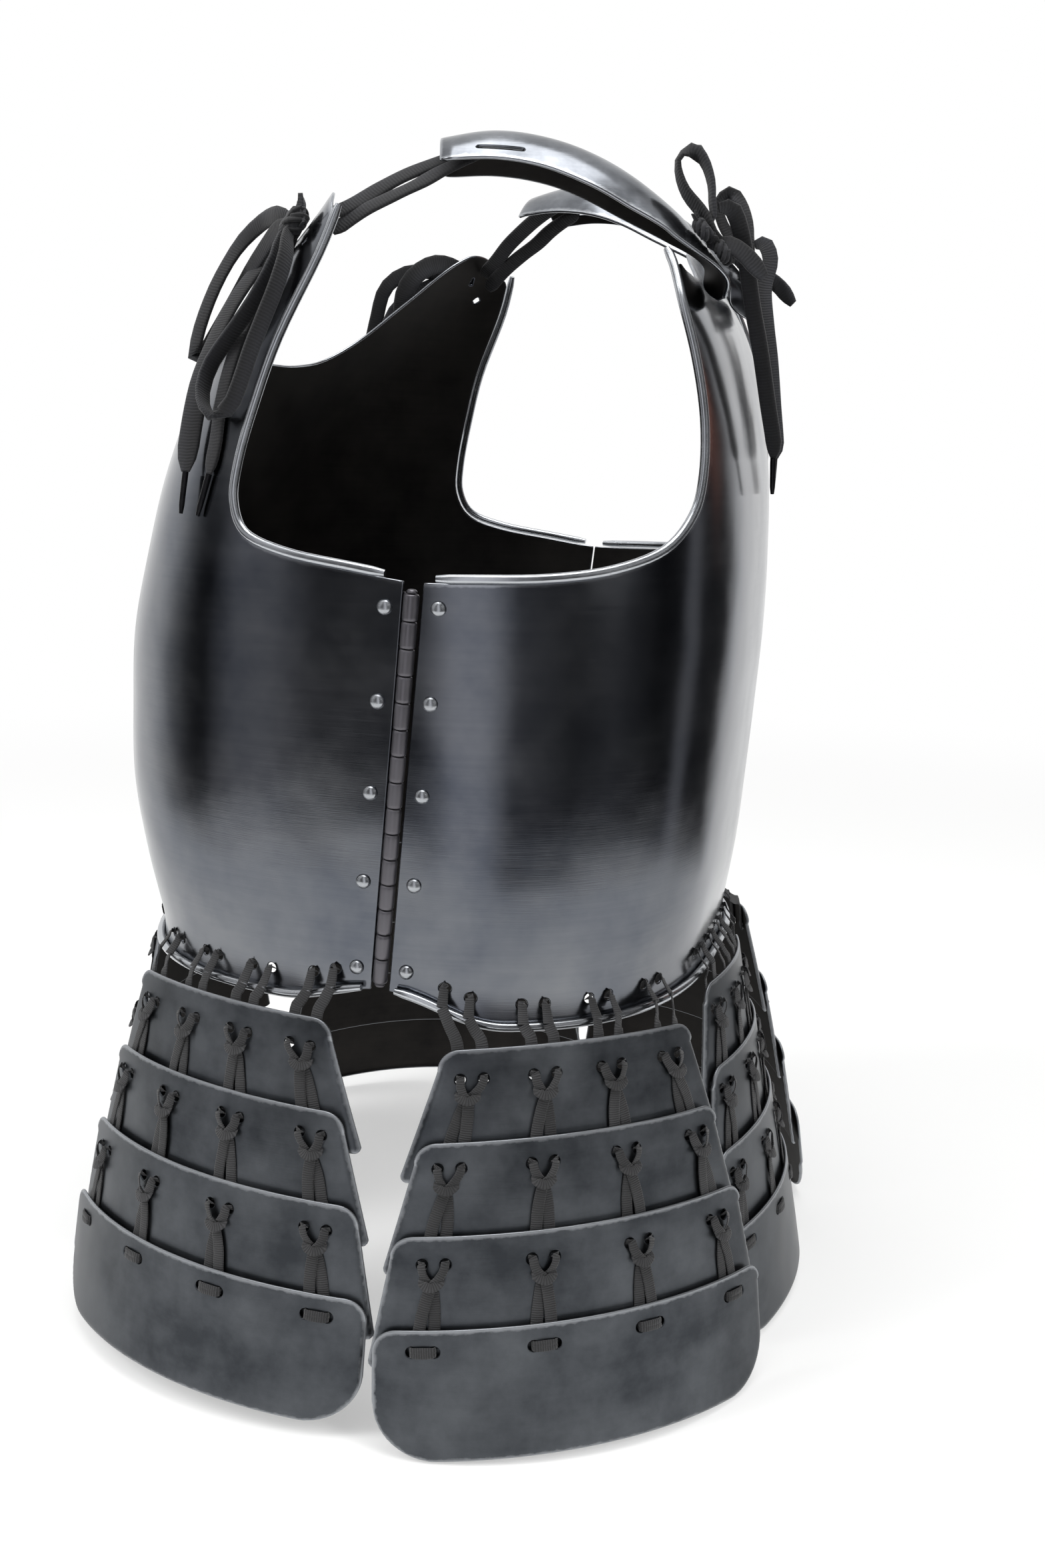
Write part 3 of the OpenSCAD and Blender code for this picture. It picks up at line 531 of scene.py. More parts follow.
class Strip:
    """A band or tube that follows a path, made by one Geometry Nodes tree."""

    tree: bpy.types.NodeTree | None = None
    keys: dict[str, str] = {}

    @classmethod
    def build_tree(cls) -> None:
        """Builds the tree: a curve along the path's edges, a section swept along it, and the band's map."""
        tree = bpy.data.node_groups.new("band_along_path", "GeometryNodeTree")
        face = tree.interface
        face.new_socket("Geometry", in_out="INPUT", socket_type="NodeSocketGeometry")
        for name, value in (("Width", 0.006), ("Thickness", 0.001), ("Section power", 0.55)):
            socket = face.new_socket(name, in_out="INPUT", socket_type="NodeSocketFloat")
            socket.default_value = value
        sides = face.new_socket("Sides", in_out="INPUT", socket_type="NodeSocketInt")
        sides.default_value = 12
        face.new_socket("Finish", in_out="INPUT", socket_type="NodeSocketMaterial")
        face.new_socket("Geometry", in_out="OUTPUT", socket_type="NodeSocketGeometry")
        cls.keys = {s.name: s.identifier for s in face.items_tree if s.in_out == "INPUT"}
        start = add_node(tree, "NodeGroupInput")
        path = add_node(tree, "GeometryNodeMeshToCurve", {"Mesh": start.outputs["Geometry"]})
        facing = add_node(tree, "GeometryNodeInputNamedAttribute", {"Name": "facing"},
                          data_type="FLOAT_VECTOR")
        turned = add_node(tree, "GeometryNodeSetCurveNormal",
                          {"Curve": path.outputs["Curve"], "Normal": facing.outputs["Attribute"]},
                          mode="FREE")
        size = add_node(tree, "GeometryNodeInputNamedAttribute", {"Name": "size"}, data_type="FLOAT")
        along = add_node(tree, "GeometryNodeSplineParameter")
        kept = add_node(tree, "GeometryNodeStoreNamedAttribute",
                        {"Geometry": turned.outputs["Curve"], "Name": "along",
                         "Value": along.outputs["Length"]},
                        data_type="FLOAT", domain="POINT")
        ring = add_node(tree, "GeometryNodeCurvePrimitiveCircle",
                        {"Resolution": start.outputs["Sides"], "Radius": 1.0})
        at = add_node(tree, "GeometryNodeInputPosition")
        split = add_node(tree, "ShaderNodeSeparateXYZ", {"Vector": at.outputs["Position"]})
        parts = []
        for axis, extent in (("X", "Thickness"), ("Y", "Width")):
            power = add_node(tree, "ShaderNodeMath",
                             {0: add_node(tree, "ShaderNodeMath", {0: split.outputs[axis]},
                                          operation="ABSOLUTE"),
                              1: start.outputs["Section power"]}, operation="POWER")
            sign = add_node(tree, "ShaderNodeMath", {0: split.outputs[axis]}, operation="SIGN")
            signed = add_node(tree, "ShaderNodeMath", {0: power, 1: sign}, operation="MULTIPLY")
            half = add_node(tree, "ShaderNodeMath", {0: start.outputs[extent], 1: 0.5}, operation="MULTIPLY")
            parts.append(add_node(tree, "ShaderNodeMath", {0: signed, 1: half},
                                  operation="MULTIPLY"))
        placed = add_node(tree, "ShaderNodeCombineXYZ", {"X": parts[0], "Y": parts[1]})
        shaped = add_node(tree, "GeometryNodeSetPosition",
                          {"Geometry": ring.outputs["Curve"], "Position": placed})
        section = add_node(tree, "GeometryNodeStoreNamedAttribute",
                           {"Geometry": shaped.outputs["Geometry"], "Name": "across", "Value": parts[1]},
                           data_type="FLOAT", domain="POINT")
        swept = add_node(tree, "GeometryNodeCurveToMesh",
                         {"Curve": kept.outputs["Geometry"], "Profile Curve": section.outputs["Geometry"],
                          "Fill Caps": True})
        if "Scale" in swept.inputs:
            tree.links.new(size.outputs["Attribute"], swept.inputs["Scale"])
        smooth = add_node(tree, "GeometryNodeSetShadeSmooth", {"Geometry": swept.outputs["Mesh"]})
        real = add_node(tree, "GeometryNodeRealizeInstances", {"Geometry": smooth.outputs["Geometry"]})
        done = add_node(tree, "GeometryNodeSetMaterial",
                        {"Geometry": real.outputs["Geometry"], "Material": start.outputs["Finish"]})
        add_node(tree, "NodeGroupOutput", {"Geometry": done.outputs["Geometry"]})
        cls.tree = tree

    @classmethod
    def make(cls, name: str, paths: Sequence[np.ndarray], facings: Sequence[np.ndarray], width: float,
             thickness: float, finish: bpy.types.Material, sizes: Sequence[np.ndarray] | None = None,
             sides: int = 12, round_section: bool = False) -> bpy.types.Object:
        """Sweeps bands along paths.

        Args:
            name: The object's name.
            paths: The middle line of each band.
            facings: For each band the direction that its wide side faces, one for all points or one for each.
            width: Width across the wide side.
            thickness: Thickness.
            finish: The material.
            sizes: For each band the share of its size at each point, rounded off at both ends if left out.
            sides: Points round the section.
            round_section: Whether the section is round, not a flat band's with full corners.

        Returns:
            One mesh object with all the bands.
        """
        if cls.tree is None:
            cls.build_tree()
        mesh = bpy.data.meshes.new(name)
        points, edges, normals, shares = [], [], [], []
        for k, path in enumerate(paths):
            first = sum(len(p) for p in points)
            points.append(path)
            edges += [(first + i, first + i + 1) for i in range(len(path) - 1)]
            direction = unit(np.gradient(path, axis=0))
            facing = np.broadcast_to(np.asarray(facings[k], float), path.shape)
            facing = facing - direction * (facing * direction).sum(axis=1, keepdims=True)
            normals.append(unit(facing))
            shares.append(end_sizes(len(path)) if sizes is None else sizes[k])
        mesh.from_pydata(to_frame(np.vstack(points)).tolist(), edges, [])
        facing = mesh.attributes.new("facing", "FLOAT_VECTOR", "POINT")
        facing.data.foreach_set("vector", np.vstack(normals).astype(np.float32).ravel())
        share = mesh.attributes.new("size", "FLOAT", "POINT")
        share.data.foreach_set("value", np.concatenate(shares).astype(np.float32))
        return run_tree(name, mesh, cls.tree, {
            cls.keys["Width"]: width / 1000, cls.keys["Thickness"]: thickness / 1000,
            cls.keys["Sides"]: sides, cls.keys["Section power"]: 1.0 if round_section else 0.55,
            cls.keys["Finish"]: finish})


def end_sizes(count: int) -> np.ndarray:
    """Shares of a band's size along its path, rounded off at both ends."""
    return np.where(np.arange(count) % (count - 1) == 0, 0.72, 1.0)


def run_tree(name: str, mesh: bpy.types.Mesh, tree: bpy.types.NodeTree,
             values: dict[str, object]) -> bpy.types.Object:
    """Runs a Geometry Nodes tree on a mesh and keeps the result as a plain mesh.

    Args:
        name: The object's name.
        mesh: The mesh that the tree starts from.
        tree: The tree.
        values: The tree's inputs by socket identifier.

    Returns:
        The finished object, without a modifier, its map "surface" across and along the band in metres.
    """
    seed = link(name + "_path", mesh)
    modifier = seed.modifiers.new("shape", "NODES")
    modifier.node_group = tree
    for key, value in values.items():
        modifier[key] = value
    seed.update_tag()
    bpy.context.view_layer.update()
    result = bpy.data.meshes.new_from_object(seed.evaluated_get(bpy.context.evaluated_depsgraph_get()))
    result.name = name
    seed.modifiers.remove(modifier)
    bpy.data.objects.remove(seed)
    if "across" in result.attributes and "along" in result.attributes:
        loops = np.empty(len(result.loops), np.int32)
        result.loops.foreach_get("vertex_index", loops)
        maps = np.zeros((len(result.vertices), 2), np.float32)
        for column, attribute in enumerate(("across", "along")):
            values_at = np.empty(len(result.vertices), np.float32)
            result.attributes[attribute].data.foreach_get("value", values_at)
            maps[:, column] = values_at
        result.uv_layers.new(name="surface").data.foreach_set("uv", maps[loops].ravel())
    return link(name, result)


def add_node(tree: bpy.types.NodeTree, kind: str, inputs: dict | None = None,
             **settings: object) -> bpy.types.Node:
    """Adds a node.

    Args:
        tree: The node tree.
        kind: The node's type.
        inputs: For its inputs, by name or number, values, output sockets, or nodes for their first output.
        settings: Its own settings.

    Returns:
        The node.
    """
    node = tree.nodes.new(kind)
    for key, value in settings.items():
        setattr(node, key, value)
    for key, value in (inputs or {}).items():
        value = value.outputs[0] if isinstance(value, bpy.types.Node) else value
        if isinstance(value, bpy.types.NodeSocket):
            tree.links.new(value, node.inputs[key])
        else:
            node.inputs[key].default_value = value
    return node


def empty_tree(owner: bpy.types.Material | bpy.types.World) -> bpy.types.NodeTree:
    """Empties the node tree of a material or a world.

    Args:
        owner: The material or world.

    Returns:
        Its tree, without nodes.
    """
    owner.use_nodes = True
    owner.node_tree.nodes.clear()
    return owner.node_tree


def colour(code: str) -> tuple[float, float, float, float]:
    """A hex sRGB colour as the linear one that a shader takes."""
    parts = [int(code[i:i + 2], 16) / 255 for i in (1, 3, 5)]
    return tuple(c / 12.92 if c <= 0.04045 else ((c + 0.055) / 1.055) ** 2.4 for c in parts) + (1.0,)


@dataclass(frozen=True)
class Steel:
    """Sheet steel, forged and finished by hand: colour, polish, the cloth's streaks, blotches and wear."""

    name: str
    hex_dark: str
    hex_light: str
    polish: float
    blotch: float = 0.08
    blotch_size: float = 55
    streak: float = 0.05
    streak_axis: tuple[float, float, float] = (14, 14, 420)
    dents: float = 0.15
    edge_hex: str = "#b9bcc0"
    edge_width: float = 1.2
    chip_scale: float = 260
    dent_scale: float = 24
    scratch_scale: tuple[float, float, float] = (60, 60, 2600)

    def build(self) -> bpy.types.Material:
        """Builds the material from noise on Object coordinates and the piece's own distance from its edge.

        Returns:
            The material.
        """
        material = bpy.data.materials.new(self.name)
        tree = empty_tree(material)
        place = add_node(tree, "ShaderNodeTexCoord").outputs["Object"]
        blotches = add_node(tree, "ShaderNodeTexNoise", {"Vector": place, "Scale": 1000 / self.blotch_size,
                                                         "Detail": 5.0, "Roughness": 0.6})
        stretched = add_node(tree, "ShaderNodeMapping", {"Vector": place, "Scale": self.streak_axis})
        streaks = add_node(tree, "ShaderNodeTexNoise", {"Vector": stretched, "Scale": 1.0,
                                                        "Detail": 4.0, "Roughness": 0.7})
        mixed = add_node(tree, "ShaderNodeMath", {0: streaks, 1: 0.15}, operation="MULTIPLY")
        tone = add_node(tree, "ShaderNodeMath", {0: blotches, 1: 0.85, 2: mixed},
                        operation="MULTIPLY_ADD")
        shade = add_node(tree, "ShaderNodeValToRGB", {"Fac": tone})
        shade.color_ramp.elements[0].position, shade.color_ramp.elements[1].position = 0.35, 0.68
        shade.color_ramp.elements[0].color = colour(self.hex_dark)
        shade.color_ramp.elements[1].color = colour(self.hex_light)
        edge = add_node(tree, "ShaderNodeAttribute", attribute_name="edge")
        chips = add_node(tree, "ShaderNodeTexNoise", {"Vector": place, "Scale": self.chip_scale,
                                                      "Detail": 3.0})
        reach = add_node(tree, "ShaderNodeMath", {0: chips, 1: self.edge_width * 2}, operation="MULTIPLY")
        worn = add_node(tree, "ShaderNodeMapRange", {"Value": edge.outputs["Fac"], "From Min": reach,
                                                     "From Max": 0.0, "To Min": 0.0, "To Max": 0.75})
        base = add_node(tree, "ShaderNodeMix", {0: worn, 6: shade,
                                                7: colour(self.edge_hex)}, data_type="RGBA")
        rough = add_node(tree, "ShaderNodeMapRange", {"Value": tone, "From Min": 0.3, "From Max": 0.7,
                                                      "To Min": self.polish - self.blotch,
                                                      "To Max": self.polish + self.blotch})
        scratches = add_node(tree, "ShaderNodeTexNoise", {"Vector": add_node(
            tree, "ShaderNodeMapping", {"Vector": place, "Scale": self.scratch_scale}).outputs["Vector"],
            "Scale": 1.0, "Detail": 2.0})
        fine = add_node(tree, "ShaderNodeBump", {"Height": scratches, "Strength": self.streak,
                                                 "Distance": 0.0004})
        beaten = add_node(tree, "ShaderNodeTexNoise", {"Vector": place, "Scale": self.dent_scale,
                                                       "Detail": 1.0})
        bump = add_node(tree, "ShaderNodeBump", {"Height": beaten, "Strength": self.dents,
                                                 "Distance": 0.004, "Normal": fine})
        shader = add_node(tree, "ShaderNodeBsdfPrincipled", {
            "Base Color": base.outputs[2], "Metallic": 1.0, "Roughness": rough, "Normal": bump})
        add_node(tree, "ShaderNodeOutputMaterial", {"Surface": shader})
        return material


@dataclass(frozen=True)
class Weave:
    """Cotton cord or lace, woven on a narrow loom: charcoal threads in slanting ribs with fuzz between, and
    painted shade in the grooves between the ribs.
    """

    name: str
    thread_hex: str
    groove_shade_hex: str
    rib: float
    slope: float
    column: float
    column_share: float
    depth: float = 0.5
    fuzz_scale: float = 900
    fade_scale: float = 45

    def build(self) -> bpy.types.Material:
        """Builds the material from the piece's own map: first number across it, second along it.

        Returns:
            The material.
        """
        material = bpy.data.materials.new(self.name)
        tree = empty_tree(material)
        flat = add_node(tree, "ShaderNodeUVMap", uv_map="surface")
        axes = add_node(tree, "ShaderNodeSeparateXYZ", {"Vector": flat.outputs["UV"]})
        lean = add_node(tree, "ShaderNodeMath", {0: axes.outputs["X"]}, operation="ABSOLUTE")
        run = add_node(tree, "ShaderNodeMath", {0: lean, 1: self.slope, 2: axes.outputs["Y"]},
                       operation="MULTIPLY_ADD")
        turn = add_node(tree, "ShaderNodeMath", {0: run, 1: 2 * math.pi * 1000 / self.rib},
                        operation="MULTIPLY")
        ribs = add_node(tree, "ShaderNodeMath", {0: turn}, operation="SINE")
        cross = add_node(tree, "ShaderNodeMath", {0: axes.outputs["X"], 1: 2 * math.pi * 1000 / self.column},
                         operation="MULTIPLY")
        warp = add_node(tree, "ShaderNodeMath", {0: cross}, operation="SINE")
        part = add_node(tree, "ShaderNodeMath", {0: ribs, 1: 1 - self.column_share}, operation="MULTIPLY")
        both = add_node(tree, "ShaderNodeMath", {0: warp, 1: self.column_share, 2: part},
                        operation="MULTIPLY_ADD")
        level = add_node(tree, "ShaderNodeMapRange", {"Value": both, "From Min": -0.8, "From Max": 0.8})
        place = add_node(tree, "ShaderNodeTexCoord").outputs["Object"]
        fuzz = add_node(tree, "ShaderNodeTexNoise", {"Vector": place, "Scale": self.fuzz_scale,
                                                     "Detail": 3.0})
        fade = add_node(tree, "ShaderNodeTexNoise", {"Vector": place, "Scale": self.fade_scale,
                                                     "Detail": 3.0})
        tone = add_node(tree, "ShaderNodeMath", {0: level, 1: fade},
                        operation="MULTIPLY")
        # The ramp runs from painted shade in the grooves between the ribs to the threads' own charcoal.
        shade = add_node(tree, "ShaderNodeValToRGB", {"Fac": tone})
        shade.color_ramp.elements[0].position, shade.color_ramp.elements[1].position = 0.05, 0.6
        shade.color_ramp.elements[0].color = colour(self.groove_shade_hex)
        shade.color_ramp.elements[1].color = colour(self.thread_hex)
        height = add_node(tree, "ShaderNodeMath", {0: fuzz, 1: 0.4, 2: level},
                          operation="MULTIPLY_ADD")
        bump = add_node(tree, "ShaderNodeBump", {"Height": height, "Strength": self.depth,
                                                 "Distance": 0.0005})
        shader = add_node(tree, "ShaderNodeBsdfPrincipled", {
            "Base Color": shade, "Roughness": 0.85, "Sheen Weight": 0.12, "Sheen Roughness": 0.5,
            "Normal": bump})
        add_node(tree, "ShaderNodeOutputMaterial", {"Surface": shader})
        return material


class Finishes:
    """The armour's materials."""

    def __init__(self) -> None:
        """Builds every material."""
        # The shells: near-black steel polished by hand, which mirrors the dark room with pale streaks.
        self.shell = Steel("blackened_polished_steel", "#5a5e66", "#7a7c80", 0.17, blotch=0.06,
                           blotch_size=70, streak=0.03, edge_hex="#aeb1b6").build()
        # The insides: dull forge scale, near black, partly painted shade that swallows the light so that the
        # openings read as dark.
        self.inside = Steel("forge_black_steel_with_painted_shade", "#242323", "#3a3836", 0.58, streak=0.02, dents=0.5,
                            edge_hex="#3a3a3a").build()
        # The rolled rims: bare steel rubbed bright, a thin pale line round every opening.
        self.rim = Steel("bright_rolled_steel", "#8d9095", "#b4b7bb", 0.24, blotch=0.06,
                         blotch_size=18).build()
        # The hinge: oiled dark steel, nearly black, with the knuckles' ends rubbed pale.
        self.hinge = Steel("browned_hinge_steel", "#131314", "#242425", 0.42, blotch_size=14,
                           edge_hex="#77757a", edge_width=0.5).build()
        # The rivets: dark domes with one small sharp highlight each.
        self.rivet = Steel("domed_rivet_steel", "#303236", "#505358", 0.27, blotch_size=8).build()
        # The shoulder straps: the brightest plates, polished so that their arches catch the light from above.
        self.strap = Steel("polished_strap_steel", "#5c5f64", "#8a8d92", 0.18, blotch_size=30).build()
        # The lames: satin blued steel brushed downwards, a soft grey sheen with pale worn edges.
        self.lame = Steel("satin_blued_steel", "#3a3d41", "#5c5f63", 0.4, blotch=0.07, blotch_size=38,
                          streak_axis=(14, 14, 90), streak=0.08, dents=0.3, edge_hex="#a4a7ab",
                          edge_width=1.5).build()
        # The lames' laces: flat charcoal tape, its ribs and warp drawn coarser than life so that they show,
        # with painted shade in the grooves.
        self.lace = Weave("flat_woven_cotton", "#323234", "#131314", 1.1, 1.0, 1.4, 0.4).build()
        # The tying cords: black flat braid in slanting ribs, drawn coarser than life so that the weave shows,
        # with painted shade between the ribs.
        self.cord = Weave("braided_cotton_cord", "#1c1d22", "#08080b", 1.5, 1.4, 1.3, 0.68, 0.7).build()
        # The cords' tips: dark lacquer, a little shinier than the cord.
        self.aglet = Steel("lacquered_tip", "#1a1a1c", "#2a2a2c", 0.35, blotch_size=6,
                           edge_hex="#2a2a2c").build()


@dataclass
class Cord:
    """A free tying cord: its route, the way that its wide side faces, its body and the node that it replaces.
    """

    name: str
    route: Sequence[Sequence[float]]
    facing: Sequence[float]
    body: str
    node: str
    far_end: str = "object"
    width: float = 8.5
    thickness: float = 2.4
    tip: Sequence[Sequence[float]] | None = None
    mirrored: bool = False
    end_facing: Sequence[float] | None = None
    points: int = 32
    tip_width: float = 3
    tip_sizes: tuple[float, ...] = (1, 1, 0.96, 0.94, 0.9, 0.6)

    def build(self, finishes: Finishes) -> None:
        """Args:
            finishes: The armour's materials.
        """
        flip = np.array([-1, 1, 1]) if self.mirrored else np.ones(3)
        path = even_path(self.route, self.points) * flip
        share = np.ones(len(path))
        share[:2], share[-2:] = (0.55, 0.85), (0.85, 0.55 if self.tip is None else 0.4)
        turn = ramp(np.linspace(-2.6, 1.6, len(path)))[:, None]
        last = np.array(self.end_facing or self.facing, float)
        facing = (1 - turn) * np.array(self.facing, float) + turn * last
        piece = Strip.make(self.name, [path], [facing * flip], self.width, self.thickness,
                           finishes.cord, [share], 14)
        settle(piece, self.body, self.node)
        if self.tip is not None:
            line = even_path(self.tip, len(self.tip_sizes)) * flip
            tip = Strip.make(self.name + "_tip", [line], [facing[-1] * flip], self.tip_width, self.tip_width,
                             finishes.aglet, [np.array(self.tip_sizes)], 10, round_section=True)
            settle(tip, self.body)


@dataclass
class Shells:
    """The two shells of the cuirass with their rolled rims."""

    plate: float = 1.6
    columns: int = 400
    edge_gap: float = 4.5
    seam_gap: float = 0.4
    rim_radius: float = 2.2
    tab_holes: tuple[tuple[float, float], ...] = ((-39, 357), (-39, 347))
    lace_hole: float = 2.6
    rivet_hole: float = 1.7
    tie_hole: float = 2.4
    edge_roll: float = 0.6
    fine_rows: tuple[float, float, float] = (0.7, 20, 1.15)
    wide_rows: tuple[float, float, int] = (21, 372, 84)
    rim_fade: float = 70
    arm_reach: float = 50
    arm_tops: tuple[float, float] = (362, 346)
    arm_split_height: float = 196
    hem_gaps: tuple[float, float] = (1.6, 8.4)
    hem_points: int = 145
    arm_gaps: tuple[float, float] = (8.0, 1.4)
    front_rim_inset: float = 0.8
    far: float = 60

    @property
    def rim_out(self) -> float:
        """Distance of the rims' middle lines from the plate's middle."""
        return self.plate / 2 + self.rim_radius + 0.3

    def hole_places(self, front: bool) -> list[tuple[np.ndarray, np.ndarray, float]]:
        """The holes of a shell as a point, an axis and a radius each.

        Args:
            front: Whether it is the front shell.

        Returns:
            The holes for laces, rivets and ties.
        """
        holes = []
        for t in ((0, 1, 5) if front else (2, 3, 4)):
            tasset = Tasset(t)
            holes += [(tasset.hanger(x), tasset.outward, self.lace_hole) for x in tasset.hanger_xs()]
        side = -1 if front else 1
        holes += [(p, n, self.rivet_hole) for p, n in Hinge().rivet_places(side)]
        if front:
            for y, z in self.tab_holes:
                p, n = FORM.side_point(y, z), FORM.normal(FORM.side_angle(y, z), z)
                holes += [(p * (m, 1, 1), n * (m, 1, 1), self.tie_hole) for m in (-1, 1)]
        return holes

    def build_plate(self, front: bool, finishes: Finishes) -> None:
        """Builds a shell's plate, with its arm openings, neck edge and holes.

        Args:
            front: Whether it is the front shell.
            finishes: The armour's materials.
        """
        h = np.concatenate([np.arange(*self.fine_rows), np.linspace(*self.wide_rows)])[:, None]
        t = np.linspace(-1, 1, self.columns + 1)[None, :]
        gap = np.where(t < 0, self.seam_gap, self.edge_gap) + self.edge_roll + 0.1
        edge = FORM.side_angle(FORM.split_y(h) + (-gap if front else gap), h)
        angle = t * edge if front else 180 - t * (180 - edge)
        base_y = FORM.skin(angle, np.zeros_like(angle))[..., 1]
        z = h + FORM.rim_z(base_y) * np.maximum(0, 1 - h / self.rim_fade)
        middle = FORM.skin(angle, z) + FORM.normal(angle, z) * FORM.hem_flare(h, base_y)[..., None]
        x, y, z = middle[..., 0], middle[..., 1], middle[..., 2]
        arm = np.vstack([smooth_path([(a, b, 0) for a, b in ARM_OUTLINE], 4)[:, :2], [(116, 800), (-9, 800)]])
        field = np.where(np.abs(x) > self.arm_reach, outline_distance(y, z, arm), self.far)
        half = smooth_path([(a, b, 0) for a, b in (FRONT_NECK if front else BACK_NECK)], 4)[:, :2]
        neck = np.vstack([[(-half[-1, 0], 800)], half[::-1] * (-1, 1), half[1:], [(half[-1, 0], 800)]])
        field = np.minimum(field, outline_distance(x, z, neck))
        wear = field - self.edge_roll
        for place, axis, radius in self.hole_places(front):
            away = middle - place
            level = away @ axis
            across = np.linalg.norm(away - level[..., None] * axis, axis=-1)
            field = np.minimum(field, np.where(np.abs(level) < 20, across - radius, self.far))
        run = path_run(middle[20])
        maps = np.stack([np.broadcast_to(run, x.shape), z], axis=-1)
        field = field - self.edge_roll
        field[field == 0] = 1e-6
        name = "front" if front else "back"
        piece = Sheet(middle, field, self.plate, maps, wear).make(
            name + "_shell_plate", [finishes.shell, finishes.inside], turn=not front)
        settle(piece, name, name + "_shell")
        log.info("%s shell, %d faces", name, len(piece.data.polygons))

    def hem_path(self, front: bool) -> np.ndarray:
        """The middle line of the rolled hem of a shell.

        Args:
            front: Whether it is the front shell.

        Returns:
            The path's points.
        """
        rows = []
        for t in np.linspace(-1, 1, self.hem_points):
            gap = self.hem_gaps[0 if t < 0 else 1]
            edge = float(FORM.side_angle(FORM.split_low + (-gap if front else gap), 0))
            angle = t * edge if front else 180 - t * (180 - edge)
            y = FORM.skin(angle, 0)[1]
            z = float(FORM.rim_z(y)) + self.rim_radius
            rows.append(FORM.skin(angle, z) + FORM.normal(angle, z)
                        * (self.rim_out + float(FORM.hem_flare(self.rim_radius, y))))
        return np.array(rows)

    def arm_path(self, front: bool, gap: float) -> np.ndarray:
        """The middle line of the rolled edge of an arm opening on the wearer's left.

        Args:
            front: Whether it is the front shell's part.
            gap: Distance of its cut end from the line between the shells.

        Returns:
            Its points.
        """
        outline = smooth_path([(a, b, 0) for a, b in ARM_OUTLINE], 5)[:, :2]
        d = unit(np.gradient(outline, axis=0))
        q = outline - self.rim_radius * np.stack([d[:, 1], -d[:, 0]], axis=1)
        split = float(FORM.split_y(self.arm_split_height))
        keep = q[:, 0] < split - gap if front else q[:, 0] > split + gap
        keep &= q[:, 1] < self.arm_tops[0 if front else 1]
        out = self.rim_out - (self.front_rim_inset if front else 0)
        return np.array([FORM.side_point(y, z, out) for y, z in q[keep]])

    def build_rims(self, front: bool, finishes: Finishes) -> None:
        """Builds the rolled hem and arm edges of a shell as round bands along their paths.

        Args:
            front: Whether it is the front shell.
            finishes: The armour's materials.
        """
        left, right = (self.arm_path(front, gap) * (m, 1, 1) for gap, m in zip(self.arm_gaps, (1, -1)))
        name = "front" if front else "back"
        piece = Strip.make(name + "_rolled_rims", [self.hem_path(front), left, right],
                           np.array([(0, 0, 1), (1, 0, 0.01), (-1, 0, 0.01)]), 2 * self.rim_radius,
                           2 * self.rim_radius, finishes.rim, sides=20, round_section=True)
        settle(piece, name, name + "_shell_rims")
        log.info("%s rims", name)

    def build(self, finishes: Finishes) -> None:
        """Builds both shells and their rims.

        Args:
            finishes: The armour's materials.
        """
        for front in (True, False):
            self.build_plate(front, finishes)
            self.build_rims(front, finishes)


